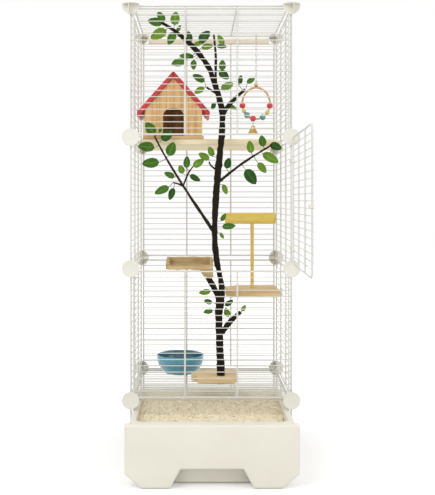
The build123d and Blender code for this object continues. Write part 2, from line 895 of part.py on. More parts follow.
stem_top = stem_points[-1]
with BuildPart() as ledge_bracket:
    with BuildSketch(Plane.XZ.offset(-middle - stem_top[1] - bracket_deep / 2)):
        Polygon(
            (bracket_left, ledge_under),
            (bracket_right, ledge_under),
            (bracket_right, stem_top[2] + seat),
            (stem_top[0] - stem_top[3] / 2, stem_top[2] + seat),
            (bracket_left, ledge_under - 8),
            align=None,
        )
    extrude(amount=bracket_deep)

ledge_bracket.part.label = "ledge_bracket"
export_step(ledge_bracket.part, "parts/ledge_bracket.step")

# Corner shelf and perch
corner_z = row_height(base_level, corner_board_gap)
corner_edge = inner - seat
with BuildPart() as corner_shelf:
    with BuildSketch(Plane.XY.offset(corner_z - corner_drop)):
        with Locations((0, middle)):
            Polygon(
                (corner_left, corner_front),
                (corner_edge, corner_front),
                (corner_edge, corner_edge),
                (corner_left + corner_cut, corner_edge),
                (corner_left, corner_edge - corner_cut),
                align=None,
            )
    extrude(amount=corner_board)
    chamfer(corner_shelf.edges().group_by(Axis.Z)[-1], 1.5)

corner_shelf.part.label = "corner_shelf"
export_step(corner_shelf.part, "parts/corner_shelf.step")

outside = wire + 2 * seat - grip
with BuildPart() as corner_fixings:
    add(wing_bolt(Plane(origin=(corner_bolt, middle + corner_edge, corner_z), z_dir=(0, 1, 0)), outside))
    add(wing_bolt(Plane(origin=(corner_edge, middle + corner_bolt, corner_z), z_dir=(1, 0, 0)), outside))

corner_fixings.part.label = "corner_fixings"
export_step(corner_fixings.part, "parts/corner_fixings.step")

post_foot = corner_z - corner_drop + corner_board
with BuildPart() as perch_post:
    with BuildSketch(Plane.XY.offset(post_foot)):
        with Locations((perch_x, middle + perch_y)):
            Circle(perch_thick / 2)
    extrude(amount=perch_axis - roll / 2 - post_foot - seat)

perch_post.part.label = "perch_post"
export_step(perch_post.part, "parts/perch_post.step")

roll_turned = math.radians(roll_turn)
roll_way = (math.cos(roll_turned), math.sin(roll_turned), 0)
with BuildPart() as perch_roll:
    with BuildSketch(Plane(origin=(roll_x, middle + perch_y, perch_axis), z_dir=roll_way)):
        RegularPolygon(roll / 2, roll_sides)
        RegularPolygon(roll / 2 - roll_wall, roll_sides, mode=Mode.SUBTRACT)
    extrude(amount=roll_length / 2, both=True)

perch_roll.part.label = "perch_roll"
export_step(perch_roll.part, "parts/perch_roll.step")

# Swing
swing_y = middle + swing_row * deck_pitch
hook_rest = levels[3] - rod / 2


def facing_front(x, height):
    """An upright plane across the cage, through the swing."""
    return Plane(origin=(x, swing_y, height), x_dir=(1, 0, 0), z_dir=(0, -1, 0))


def facing_side(x, height):
    """An upright plane from front to back, through the swing."""
    return Plane(origin=(x, swing_y, height), x_dir=(0, 1, 0), z_dir=(1, 0, 0))


with BuildPart() as swing_hook:
    half, step = hook_width / 2, hook_width / 4
    top = hook_wire / 2
    with BuildLine(facing_side(swing_x, hook_rest)):
        hook = Polyline(
            (-half, top - hook_length * 0.4),
            (-half, top - step),
            (-step, top),
            (step, top),
            (half, top - step),
            (half, top + step - hook_length),
            (step, top - hook_length),
            (-step, top - hook_length),
            (-half, top + step - hook_length),
            (-half, top - hook_length * 0.7),
        )
    with BuildSketch(Plane(origin=hook @ 0, z_dir=hook % 0)):
        Rectangle(hook_wire, hook_wire)
    sweep(path=hook, transition=Transition.RIGHT)

swing_hook.part.label = "swing_hook"
export_step(swing_hook.part, "parts/swing_hook.step")

chain_top = hook_rest + hook_wire - hook_length + play + link_wire
link_pitch = link_long - 2 * link_wire


def link(plane, long, wide, thick):
    """A flat link that hangs down from the plane's origin."""
    with BuildPart() as piece:
        with BuildSketch(plane):
            for grow, mode in ((0, Mode.ADD), (thick, Mode.SUBTRACT)):
                half, point = wide / 2 - grow, wide / 4
                with BuildLine(mode=Mode.PRIVATE) as outline:
                    Polyline(
                        (half - point, -grow),
                        (half, -point),
                        (half, point - long),
                        (half - point, grow - long),
                        (point - half, grow - long),
                        (-half, point - long),
                        (-half, -point),
                        (point - half, -grow),
                        close=True,
                    )
                make_face(outline.edges(), mode=mode)
        extrude(amount=thick / 2, both=True)
    return piece.part.solids()


chain = []
for n in range(links):
    facing = (facing_front, facing_side)[n % 2]
    chain += link(facing(swing_x, chain_top - n * link_pitch), link_long, link_wide, link_wire)
swing_chain = Compound(chain)
swing_chain.label = "swing_chain"
export_step(swing_chain, "parts/swing_chain.step")

chain_low = chain_top - (links - 1) * link_pitch - link_long
eye_top = chain_low + 2 * link_wire + play
knob_top = eye_top - eye_long
hoop_top = knob_top - knob_high
hoop_centre = hoop_top - hoop / 2 - hoop_high / 2


def hoop_place(angle):
    """A plane square to the hoop's middle line, an angle round from its lowest point."""
    turn = math.radians(angle)
    x, z = hoop_wide / 2 * math.sin(turn), hoop_centre - hoop_high / 2 * math.cos(turn)
    way = (hoop_wide * math.cos(turn), 0, hoop_high * math.sin(turn))
    return Plane(origin=(swing_x + x, swing_y, z), x_dir=(0, 1, 0), z_dir=way)


with BuildPart() as hoop_ring:
    with BuildLine():
        step = 360 / hoop_sides
        round_hoop = Polyline(*[hoop_place(step * (n + 0.5)).origin for n in range(hoop_sides)], close=True)
    start = round_hoop.edges()[0]
    with BuildSketch(Plane(origin=start @ 0.5, x_dir=(0, 1, 0), z_dir=start % 0.5)):
        RegularPolygon(hoop / 2, 6, major_radius=False)
    sweep(path=round_hoop, transition=Transition.RIGHT)

for colour, angles in bead_angles.items():
    with BuildPart() as beads:
        for angle in angles:
            with BuildSketch(hoop_place(angle)):
                RegularPolygon(bead_sizes[colour] / 2, 8)
            extrude(amount=bead_sizes[colour] * bead_share, taper=bead_taper, both=True)
        add(hoop_ring.part, mode=Mode.SUBTRACT)
    beads.part.label = f"{colour}_beads"
    export_step(beads.part, f"parts/{colour}_beads.step")

with BuildPart() as swing_knob:
    with BuildSketch(Plane.XY.offset(hoop_top)):
        with Locations((swing_x, swing_y)):
            RegularPolygon(knob / 2, 10)
    extrude(amount=knob_high)
    chamfer(swing_knob.edges().group_by(Axis.Z)[-1], knob / 6)

low_bead = hoop_place(bead_angles["red"][1]).origin
hanger_top = low_bead.Z - bead_sizes["red"] / 2 - play / 2
hoop_eye = link(facing_front(swing_x, eye_top), eye_long, eye_wide, link_wire)
hanger = link(facing_front(low_bead.X, hanger_top), eye_long, eye_wide, link_wire)
swing_hoop = Compound(hoop_ring.part.solids() + swing_knob.part.solids() + hoop_eye + hanger)
swing_hoop.label = "swing_hoop"
export_step(swing_hoop, "parts/swing_hoop.step")

bell_eye_top = hanger_top - eye_long + 2 * link_wire + play
bell_top = bell_eye_top - eye_long
with BuildPart() as bell_cup:
    with BuildSketch(facing_front(low_bead.X, bell_top)):
        with BuildLine():
            outer = Polyline((0, 0), (bell_crown, 0), (bell_wide / 2, -bell_high))
            inside = Polyline(
                (bell_wide / 2 - bell_wall, -bell_high),
                (bell_crown - bell_wall, -bell_wall),
                (0, -bell_wall),
            )
            Line(outer @ 1, inside @ 0)
            Line(inside @ 1, outer @ 0)
        make_face()
    revolve(axis=Axis((low_bead.X, swing_y, 0), (0, 0, 1)))
bell_eye = link(facing_side(low_bead.X, bell_eye_top), eye_long, eye_wide, link_wire)
swing_bell = Compound(bell_cup.part.solids() + bell_eye)
swing_bell.label = "swing_bell"
export_step(swing_bell, "parts/swing_bell.step")

clapper_top = bell_top - bell_wall - clapper_gap
with BuildPart() as bell_clapper:
    with BuildSketch(Plane.XY.offset(clapper_top)):
        with Locations((low_bead.X, swing_y)):
            RegularPolygon(link_wire, 6)
    extrude(amount=-clapper_long)
    with BuildSketch(Plane.XY.offset(clapper_top - clapper_long)):
        with Locations((low_bead.X, swing_y)):
            RegularPolygon(clapper / 2, 8)
    extrude(amount=clapper / 3, taper=bead_taper, both=True)

bell_clapper.part.label = "bell_clapper"
export_step(bell_clapper.part, "parts/bell_clapper.step")

# Bowl on the wire floor
with BuildPart() as bowl:
    bowl_bottom = (bowl_x, middle + bowl_y, deck_top + bowl_gap)
    with BuildSketch(Plane(origin=bowl_bottom, x_dir=(1, 0, 0), z_dir=(0, -1, 0))):
        rim, foot = bowl_rim / 2, bowl_foot / 2
        with BuildLine():
            belly, belly_z = foot + (rim - foot) * bowl_belly, bowl_high * bowl_belly_high
            outer = Polyline((0, 0), (foot, 0), (belly, belly_z), (rim, bowl_high))
            inside = Polyline(
                (rim - bowl_wall, bowl_high),
                (belly - bowl_wall, belly_z),
                (foot - bowl_wall, bowl_wall),
                (0, bowl_wall),
            )
            Line(outer @ 1, inside @ 0)
            Line(inside @ 1, outer @ 0)
        make_face()
    revolve(axis=Axis((bowl_x, middle + bowl_y, 0), (0, 0, 1)))

bowl.part.label = "bowl"
export_step(bowl.part, "parts/bowl.step")
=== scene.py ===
import random
from math import asin, cos, hypot, pi, radians, sin, sqrt, tan

import bmesh
import bpy
from mathutils import Matrix, Vector, noise


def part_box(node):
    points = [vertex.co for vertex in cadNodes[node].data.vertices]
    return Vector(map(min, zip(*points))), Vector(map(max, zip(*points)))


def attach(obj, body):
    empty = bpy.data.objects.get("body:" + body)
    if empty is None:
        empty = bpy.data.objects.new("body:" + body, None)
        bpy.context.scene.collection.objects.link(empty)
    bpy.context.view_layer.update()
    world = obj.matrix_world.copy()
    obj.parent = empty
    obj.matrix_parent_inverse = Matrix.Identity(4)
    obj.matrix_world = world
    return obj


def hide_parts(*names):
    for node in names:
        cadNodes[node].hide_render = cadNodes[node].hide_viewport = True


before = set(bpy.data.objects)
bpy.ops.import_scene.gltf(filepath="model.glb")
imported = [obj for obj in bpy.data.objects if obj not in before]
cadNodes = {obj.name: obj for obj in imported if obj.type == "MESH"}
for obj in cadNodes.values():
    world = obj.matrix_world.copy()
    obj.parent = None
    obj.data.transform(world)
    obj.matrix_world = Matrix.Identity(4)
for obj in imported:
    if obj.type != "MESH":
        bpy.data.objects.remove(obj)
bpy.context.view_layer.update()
print("frame loaded")

leftLow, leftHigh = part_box("left_panel_top")
middleY = (leftLow[1] + leftHigh[1]) / 2

# sizes in metres, as the solids have them
cage = {
    "half": 0.220,
    "levels": (0.192, 0.552, 0.912, 1.272),
    "panelWide": 0.430,
    "panelHigh": 0.350,
    "panelUp": 0.180,
    "skirtHigh": 0.182,
    "skirtFoot": 0.005,
    "rod": 0.0048,
    "wire": 0.0024,
    "weld": 0.0003,
    "cornerRadius": 0.016,
    "wallRows": 19,
    "deckRows": 15,
    "skirtRows": 9,
}
frontY = middleY - cage["half"]
backY = middleY + cage["half"]

# camera first: level, looking along +Y
cameraSetup = {
    "x": -0.040,
    "distance": 2.512,
    "height": 0.740,
    "lens": 60.95,
    "sensor": 36,
    "shiftX": 0.0424,
    "shiftY": -0.096,
    "farthest": 30,
}
cameraData = bpy.data.cameras.new("camera")
cameraData.lens = cameraSetup["lens"]
cameraData.sensor_width = cameraSetup["sensor"]
cameraData.shift_x = cameraSetup["shiftX"]
cameraData.shift_y = cameraSetup["shiftY"]
cameraData.clip_end = cameraSetup["farthest"]
camera = bpy.data.objects.new("camera", cameraData)
camera.location = (cameraSetup["x"], middleY - cameraSetup["distance"], cameraSetup["height"])
camera.rotation_euler = (radians(90), 0, 0)
bpy.context.scene.collection.objects.link(camera)
bpy.context.scene.camera = camera
bpy.context.scene.view_settings.view_transform = "Standard"


def intoScene(item):
    bpy.context.scene.collection.objects.link(item)
    return item


def startGroup(name, inputs, outputs):
    group = bpy.data.node_groups.new(name, "ShaderNodeTree")
    for label, kind, value in inputs:
        socket = group.interface.new_socket(name=label, in_out="INPUT", socket_type="NodeSocket" + kind)
        socket.default_value = value
    for label, kind in outputs:
        group.interface.new_socket(name=label, in_out="OUTPUT", socket_type="NodeSocket" + kind)
    return group, group.nodes.new("NodeGroupInput"), group.nodes.new("NodeGroupOutput")


def fill(tree, socket, value):
    # links another socket, or sets a plain value
    if isinstance(value, bpy.types.NodeSocket):
        tree.links.new(value, socket)
    else:
        socket.default_value = value


def feed(tree, node, **values):
    # inputs by name, with _ for each space
    for key, value in values.items():
        fill(tree, node.inputs[key.replace("_", " ")], value)


def addNode(tree, kind, **settings):
    # in_Some_Name is the input Some Name, any other setting is the node's own
    node = tree.nodes.new(kind)
    for key, value in settings.items():
        if key.startswith("in_"):
            feed(tree, node, **{key[3:]: value})
        else:
            setattr(node, key, value)
    return node


def addMath(tree, operation, *values, kind="ShaderNodeMath", output=0):
    node = addNode(tree, kind, operation=operation)
    for socket, value in zip(node.inputs, values):
        fill(tree, socket, value)
    return node.outputs[output]


def addMix(tree, factor, one, two):
    node = addNode(tree, "ShaderNodeMix", data_type="RGBA")
    for index, value in ((0, factor), (6, one), (7, two)):
        fill(tree, node.inputs[index], value)
    return node.outputs[2]


def addNoise(tree, place, scale, detail, **settings):
    node = addNode(tree, "ShaderNodeTexNoise", in_Vector=place, in_Scale=scale, in_Detail=detail, **settings)
    return node.outputs["Fac"]


def addRamp(tree, value, low, high):
    ramp = addNode(tree, "ShaderNodeMapRange", in_Value=value, in_From_Min=low, in_From_Max=high)
    return ramp.outputs["Result"]


wear = {"grit": 0.3, "patches": 0.12, "jointDark": 0.35, "jointDepth": 3.0}
groupOutputs = (("Color", "Color"), ("Height", "Float"), ("Roughness", "Float"))


def wornRoughness(tree, source, fine, mask):
    # handling marks: the given roughness, varied by the fine noise and the patches
    grit = addMath(tree, "MULTIPLY", addMath(tree, "SUBTRACT", fine, 0.5), wear["grit"])
    base = addMath(tree, "ADD", source.outputs["Roughness"], grit)
    return addMath(tree, "ADD", base, addMath(tree, "MULTIPLY", mask, wear["patches"]))


def makeMottle():
    # slow patches of a second colour, with a fine roughness on top
    look = {"detail": 4.0, "rough": 0.6, "edges": (0.35, 0.7), "fineDetail": 2.0}
    inputs = (
        ("Color", "Color", (0.8, 0.8, 0.8, 1)),
        ("Patch Color", "Color", (0.7, 0.7, 0.7, 1)),
        ("Patch Size", "Float", 20.0),
        ("Amount", "Float", 0.5),
        ("Fine Scale", "Float", 900.0),
        ("Roughness", "Float", 0.5),
    )
    tree, source, sink = startGroup("mottle", inputs, groupOutputs)
    place = addNode(tree, "ShaderNodeTexCoord").outputs["Object"]
    patches = addNoise(tree, place, source.outputs["Patch Size"], look["detail"], in_Roughness=look["rough"])
    mask = addMath(tree, "MULTIPLY", addRamp(tree, patches, *look["edges"]), source.outputs["Amount"])
    fine = addNoise(tree, place, source.outputs["Fine Scale"], look["fineDetail"])
    color = addMix(tree, mask, source.outputs["Color"], source.outputs["Patch Color"])
    feed(tree, sink, Color=color, Height=fine, Roughness=wornRoughness(tree, source, fine, mask))
    return tree


def makeGrain():
    # long wood figure along an axis given as a stretch of the three coordinates
    bandLook = {"in_Roughness": 0.55, "in_Distortion": 0.8}
    look = {"bandEdges": (0.38, 0.66), "fibreEdges": (0.4, 0.75), "fibreShare": 0.45, "finer": 7.0}
    inputs = (
        ("Color", "Color", (0.8, 0.7, 0.5, 1)),
        ("Dark Color", "Color", (0.6, 0.45, 0.25, 1)),
        ("Stretch", "Vector", (1.0, 1.0, 1.0)),
        ("Scale", "Float", 60.0),
        ("Contrast", "Float", 0.6),
        ("Roughness", "Float", 0.5),
    )
    tree, source, sink = startGroup("wood grain", inputs, groupOutputs)
    place = addNode(tree, "ShaderNodeTexCoord").outputs["Object"]
    drawn = addMath(tree, "MULTIPLY", place, source.outputs["Stretch"], kind="ShaderNodeVectorMath")
    bands = addNoise(tree, drawn, source.outputs["Scale"], 5.0, **bandLook)
    fibreScale = addMath(tree, "MULTIPLY", source.outputs["Scale"], look["finer"])
    fibre = addNoise(tree, drawn, fibreScale, 3.0, in_Roughness=0.7)
    bandRamp = addRamp(tree, bands, *look["bandEdges"])
    fibreRamp = addRamp(tree, fibre, *look["fibreEdges"])
    both = addMath(tree, "MULTIPLY_ADD", fibreRamp, look["fibreShare"], bandRamp)
    mask = addMath(tree, "MULTIPLY", both, source.outputs["Contrast"])
    mask.node.use_clamp = True
    color = addMix(tree, mask, source.outputs["Color"], source.outputs["Dark Color"])
    feed(tree, sink, Color=color, Height=fibre, Roughness=wornRoughness(tree, source, fibre, mask))
    return tree


def makeBoards():
    # narrow dark joints between planks, across the given axis
    inputs = (
        ("Color", "Color", (0.8, 0.7, 0.5, 1)),
        ("Joint Color", "Color", (0.4, 0.25, 0.1, 1)),
        ("Axis", "Vector", (1.0, 0.0, 0.0)),
        ("Pitch", "Float", 0.02),
        ("Joint", "Float", 0.06),
    )
    tree, source, sink = startGroup("board joints", inputs, groupOutputs[:2])
    place = addNode(tree, "ShaderNodeTexCoord").outputs["Object"]
    axis = source.outputs["Axis"]
    along = addMath(tree, "DOT_PRODUCT", place, axis, kind="ShaderNodeVectorMath", output="Value")
    share = addMath(tree, "FRACT", addMath(tree, "DIVIDE", along, source.outputs["Pitch"]))
    mask = addMath(tree, "LESS_THAN", share, source.outputs["Joint"])
    shade = addMath(tree, "MULTIPLY", mask, 0.6)
    color = addMix(tree, shade, source.outputs["Color"], source.outputs["Joint Color"])
    feed(tree, sink, Color=color, Height=addMath(tree, "SUBTRACT", 1.0, mask))
    return tree


mottle = makeMottle()
grain = makeGrain()
boards = makeBoards()
print("shader groups ready")


def startMaterial(name, roughness, metallic=0.0, coat=0.0, shine=0.5):
    material = bpy.data.materials.new(name)
    material.use_nodes = True
    tree = material.node_tree
    shader = tree.nodes["Principled BSDF"]
    feed(tree, shader, Roughness=roughness, Metallic=metallic, Coat_Weight=coat, Specular_IOR_Level=shine)
    return material, tree, shader


def dress(tree, shader, color, height, group, bump):
    feed(tree, shader, Base_Color=color, Roughness=group.outputs["Roughness"])
    relief = addNode(tree, "ShaderNodeBump", in_Height=height, in_Distance=bump, in_Strength=1.0)
    feed(tree, shader, Normal=relief.outputs["Normal"])


def mottledMaterial(name, color, patch, size, amount, fine, roughness, bump, metallic, coat, shine):
    material, tree, shader = startMaterial(name, roughness, metallic, coat, shine)
    group = addNode(tree, "ShaderNodeGroup", node_tree=mottle)
    feed(tree, group, Color=(*color, 1), Patch_Color=(*patch, 1), Patch_Size=size)
    feed(tree, group, Amount=amount, Fine_Scale=fine, Roughness=roughness)
    dress(tree, shader, group.outputs["Color"], group.outputs["Height"], group, bump)
    return material


def woodMaterial(name, color, dark, stretch, scale, contrast, roughness, bump, coat, pitch):
    material, tree, shader = startMaterial(name, roughness, coat=coat)
    group = addNode(tree, "ShaderNodeGroup", node_tree=grain)
    feed(tree, group, Color=(*color, 1), Dark_Color=(*dark, 1), Stretch=stretch)
    feed(tree, group, Scale=scale, Contrast=contrast, Roughness=roughness)
    color, height = group.outputs["Color"], group.outputs["Height"]
    if pitch:
        gap = (*(c * wear["jointDark"] for c in dark), 1)
        joints = addNode(tree, "ShaderNodeGroup", node_tree=boards, in_Joint_Color=gap, in_Pitch=pitch)
        feed(tree, joints, Color=color)
        color = joints.outputs["Color"]
        step = addMath(tree, "MULTIPLY", joints.outputs["Height"], wear["jointDepth"])
        height = addMath(tree, "ADD", height, step)
    dress(tree, shader, color, height, group, bump)
    return material


# name, colour, patch colour, patch size, amount, fine scale, roughness, bump
mottledLooks = {
    "wire": ("coated wire", (0.71, 0.70, 0.64), (0.62, 0.60, 0.54), 14, 0.5, 1400, 0.34, 0.00006),
    "connector": ("moulded connector", (0.8, 0.78, 0.7), (0.73, 0.7, 0.61), 25, 0.5, 1100, 0.36, 0.00008),
    "drawer": ("moulded drawer", (0.82, 0.79, 0.69), (0.76, 0.72, 0.62), 7, 0.6, 900, 0.4, 0.0001),
    "bedding": ("bedding", (0.94, 0.86, 0.66), (0.74, 0.6, 0.38), 90, 0.6, 700, 0.85, 0.0012),
    "flakes": ("wood flakes", (0.97, 0.93, 0.8), (0.92, 0.82, 0.58), 60, 0.8, 500, 0.8, 0.0002),
    "bark": ("dark bark", (0.007, 0.005, 0.003), (0.03, 0.021, 0.012), 160, 0.8, 380, 0.8, 0.0016),
    "twig": ("twig bark", (0.011, 0.008, 0.004), (0.045, 0.034, 0.014), 200, 0.6, 600, 0.75, 0.0008),
    "ledgeBark": ("log bark", (0.3, 0.2, 0.1), (0.12, 0.07, 0.035), 120, 0.9, 420, 0.8, 0.002),
    "steel": ("zinc plate", (0.62, 0.62, 0.6), (0.5, 0.5, 0.48), 60, 0.5, 1200, 0.32, 0.00005),
    "brass": ("brass", (0.56, 0.37, 0.12), (0.4, 0.24, 0.07), 80, 0.6, 900, 0.24, 0.00008),
    "chain": ("chain steel", (0.5, 0.46, 0.36), (0.36, 0.32, 0.24), 80, 0.6, 900, 0.3, 0.00005),
    "red": ("red lacquer", (0.72, 0.035, 0.05), (0.56, 0.02, 0.03), 90, 0.5, 900, 0.22, 0.00006),
    "teal": ("teal lacquer", (0.1, 0.38, 0.4), (0.05, 0.24, 0.27), 90, 0.5, 900, 0.22, 0.00006),
    "yellow": ("yellow lacquer", (0.75, 0.62, 0.16), (0.55, 0.55, 0.14), 90, 0.5, 900, 0.24, 0.00006),
    "glaze": ("blue glaze", (0.1, 0.37, 0.5), (0.07, 0.28, 0.4), 40, 0.6, 500, 0.16, 0.00012),
    "glazeInside": ("inner glaze", (0.03, 0.18, 0.27), (0.02, 0.12, 0.2), 40, 0.6, 500, 0.16, 0.00012),
}
alongX, alongY, alongZ = (0.08, 1.0, 1.0), (1.0, 0.08, 1.0), (1.0, 1.0, 0.08)
# name, colour, dark colour, direction of the figure, scale, contrast, roughness, bump
woodLooks = {
    "shelf": ("pale planed wood", (0.95, 0.83, 0.57), (0.84, 0.67, 0.4), alongX, 55, 0.6, 0.55, 0.0002),
    "block": ("pale block", (0.84, 0.66, 0.38), (0.66, 0.46, 0.22), alongX, 70, 0.65, 0.58, 0.0002),
    "corner": ("corner board", (0.76, 0.55, 0.3), (0.58, 0.38, 0.18), alongX, 60, 0.7, 0.55, 0.0002),
    "batten": ("batten", (0.84, 0.76, 0.62), (0.72, 0.62, 0.46), alongX, 60, 0.6, 0.6, 0.0002),
    "houseWall": ("house wood", (0.82, 0.54, 0.25), (0.6, 0.34, 0.12), alongZ, 60, 0.85, 0.52, 0.0002),
    "houseBase": ("house plank", (0.74, 0.5, 0.26), (0.55, 0.33, 0.14), alongX, 60, 0.7, 0.55, 0.0002),
    "roof": ("red stain", (0.62, 0.045, 0.06), (0.42, 0.02, 0.03), alongY, 45, 0.6, 0.42, 0.0002),
    "perch": ("yellow stain", (0.88, 0.68, 0.16), (0.74, 0.5, 0.07), alongX, 60, 0.55, 0.5, 0.0002),
    "post": ("yellow dowel", (0.82, 0.62, 0.18), (0.64, 0.42, 0.08), alongZ, 60, 0.55, 0.5, 0.0002),
    "ledge": ("split log", (0.66, 0.5, 0.26), (0.36, 0.23, 0.1), alongX, 80, 0.8, 0.65, 0.0005),
    "rattan": ("cane", (0.74, 0.5, 0.24), (0.5, 0.3, 0.12), alongZ, 120, 0.7, 0.5, 0.0003),
}
coats = {"wire": 0.3, "roof": 0.1, "red": 0.2, "teal": 0.2, "yellow": 0.2, "glaze": 0.6, "glazeInside": 0.6}
metals = {"steel": 1.0, "brass": 1.0, "chain": 1.0}
shines = {"bark": 0.15, "twig": 0.15}
plankPitch = {"houseWall": 0.0212}
finishes = {}
for key, look in mottledLooks.items():
    finishes[key] = mottledMaterial(*look, metals.get(key, 0.0), coats.get(key, 0.0), shines.get(key, 0.5))
for key, look in woodLooks.items():
    finishes[key] = woodMaterial(*look, coats.get(key, 0.0), plankPitch.get(key, 0.0))
veins = {"rib": 0.03, "slant": 0.7, "count": 22, "width": 0.14, "faint": 0.45, "patch": 0.55, "bump": 0.0004}


def leafMaterial(name, color, vein):
    # leaf UVs: u along the midrib, v from edge to edge
    material, tree, shader = startMaterial(name, 0.5, shine=0.25)
    place = addNode(tree, "ShaderNodeUVMap", uv_map="leaf")
    split = addNode(tree, "ShaderNodeSeparateXYZ", in_Vector=place.outputs["UV"])
    side = addMath(tree, "ABSOLUTE", addMath(tree, "SUBTRACT", split.outputs["Y"], 0.5))
    rib = addMath(tree, "LESS_THAN", side, veins["rib"])
    slant = addMath(tree, "SUBTRACT", split.outputs["X"], addMath(tree, "MULTIPLY", side, veins["slant"]))
    wave = addMath(tree, "ABSOLUTE", addMath(tree, "SINE", addMath(tree, "MULTIPLY", slant, veins["count"])))
    branching = addMath(tree, "LESS_THAN", wave, veins["width"])
    mask = addMath(tree, "MAXIMUM", rib, addMath(tree, "MULTIPLY", branching, veins["faint"]))
    group = addNode(tree, "ShaderNodeGroup", node_tree=mottle)
    patch = (*(c * veins["patch"] for c in color), 1)
    feed(tree, group, Color=(*color, 1), Patch_Color=patch, Patch_Size=60.0, Amount=0.8, Fine_Scale=900.0)
    blade = addMix(tree, mask, group.outputs["Color"], (*vein, 1))
    height = addMath(tree, "SUBTRACT", group.outputs["Height"], mask)
    dress(tree, shader, blade, height, group, veins["bump"])
    return material


for key, name, color, vein in (
    ("deepLeaf", "deep leaf", (0.016, 0.085, 0.004), (0.07, 0.19, 0.02)),
    ("midLeaf", "mid leaf", (0.05, 0.17, 0.008), (0.16, 0.31, 0.04)),
    ("freshLeaf", "fresh leaf", (0.14, 0.29, 0.014), (0.28, 0.44, 0.08)),
):
    finishes[key] = leafMaterial(name, color, vein)
print("materials ready")


def addPiece(name, mesh, body, looks, replaced=(), sharp=35, bevel=0.0):
    for look in looks:
        mesh.materials.append(finishes[look])
    mesh.polygons.foreach_set("use_smooth", [True] * len(mesh.polygons))
    mesh.set_sharp_from_angle(angle=radians(sharp))
    piece = intoScene(bpy.data.objects.new(name, mesh))
    if bevel:
        rounding = piece.modifiers.new("rounding", "BEVEL")
        rounding.width = bevel
        rounding.segments = 3
        rounding.limit_method = "ANGLE"
        rounding.angle_limit = radians(30)
        rounding.harden_normals = True
    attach(piece, body)
    if replaced:
        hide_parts(*replaced)
    return piece


def meshFrom(name, work, facing=True):
    # facing: turn every face outward
    mesh = bpy.data.meshes.new(name)
    if facing:
        bmesh.ops.recalc_face_normals(work, faces=work.faces)
    work.to_mesh(mesh)
    work.free()
    return mesh


def softened(node, body, look, bevel):
    # the node's own solid with its edges broken
    work = bmesh.new()
    work.from_mesh(cadNodes[node].data)
    bmesh.ops.remove_doubles(work, verts=work.verts, dist=0.00001)
    bmesh.ops.dissolve_limit(work, angle_limit=radians(1), verts=work.verts, edges=work.edges)
    mesh = meshFrom(node + "_soft", work)
    return addPiece(node + "_soft", mesh, body, [look], [node], 30, bevel)


def joinRings(work, one, two):
    # quads between two closed rings of equal count
    faces = []
    for step in range(len(one)):
        after = (step + 1) % len(one)
        faces.append(work.faces.new((one[step], one[after], two[after], two[step])))
    return faces


def sweepTube(work, points, radii, sides, closed=False, lumps=0.0):
    count = len(points)
    rings = []
    normal = None
    for index, point in enumerate(points):
        ahead = points[(index + 1) % count] if closed or index < count - 1 else point
        behind = points[index - 1] if closed or index > 0 else point
        way = (ahead - behind).normalized()
        if normal is None:
            normal = way.orthogonal().normalized()
        normal = (normal - way * normal.dot(way)).normalized()
        side = way.cross(normal)
        radius = radii[index] if isinstance(radii, list) else radii
        ring = []
        for step in range(sides):
            turn = 2 * pi * step / sides
            spot = point + (normal * cos(turn) + side * sin(turn)) * radius
            if lumps:
                spot += (spot - point) * lumps * noise.noise(spot * 90)
            ring.append(work.verts.new(spot))
        rings.append(ring)
    faces = []
    for one, two in zip(rings, rings[1:] + rings[:1] if closed else rings[1:]):
        faces += joinRings(work, one, two)
    if not closed:
        faces.append(work.faces.new(list(reversed(rings[0]))))
        faces.append(work.faces.new(rings[-1]))
    return faces


def lathe(work, profile, sides, place):
    # profile of (radius, height); rows with radius 0 close on the axis
    rings = []
    for radius, height in profile:
        if radius < 0.00001:
            rings.append([work.verts.new(place @ Vector((0, 0, height)))])
        else:
            turns = [2 * pi * step / sides for step in range(sides)]
            spots = [Vector((radius * cos(turn), radius * sin(turn), height)) for turn in turns]
            rings.append([work.verts.new(place @ spot) for spot in spots])
    faces = []
    for one, two in zip(rings, rings[1:]):
        for step in range(sides):
            after = (step + 1) % sides
            spans = ((one, step), (one, after), (two, after), (two, step))
            corners = [ring[turn % len(ring)] for ring, turn in spans]
            distinct = list(dict.fromkeys(corners))
            if len(distinct) > 2:
                faces.append(work.faces.new(distinct))
    return faces


def smoothProfile(points, steps):
    # Catmull-Rom through the points
    result = []
    for index in range(len(points) - 1):
        p0 = Vector(points[max(index - 1, 0)])
        p1, p2 = Vector(points[index]), Vector(points[index + 1])
        p3 = Vector(points[min(index + 2, len(points) - 1)])
        for step in range(steps):
            t = step / steps
            bend, twist = 2 * p0 - 5 * p1 + 4 * p2 - p3, 3 * p1 - p0 - 3 * p2 + p3
            result.append(0.5 * (2 * p1 + (p2 - p0) * t + bend * t**2 + twist * t**3))
    result.append(Vector(points[-1]))
    return result


def roundedOutline(width, height, radius, steps=5):
    # corners of a rounded rectangle about the origin
    points = []
    for cornerX, cornerY, start in ((1, 1, 0), (-1, 1, 90), (-1, -1, 180), (1, -1, 270)):
        for step in range(steps + 1):
            turn = radians(start + 90 * step / steps)
            x = cornerX * (width / 2 - radius) + radius * cos(turn)
            y = cornerY * (height / 2 - radius) + radius * sin(turn)
            points.append((x, y))
    return points


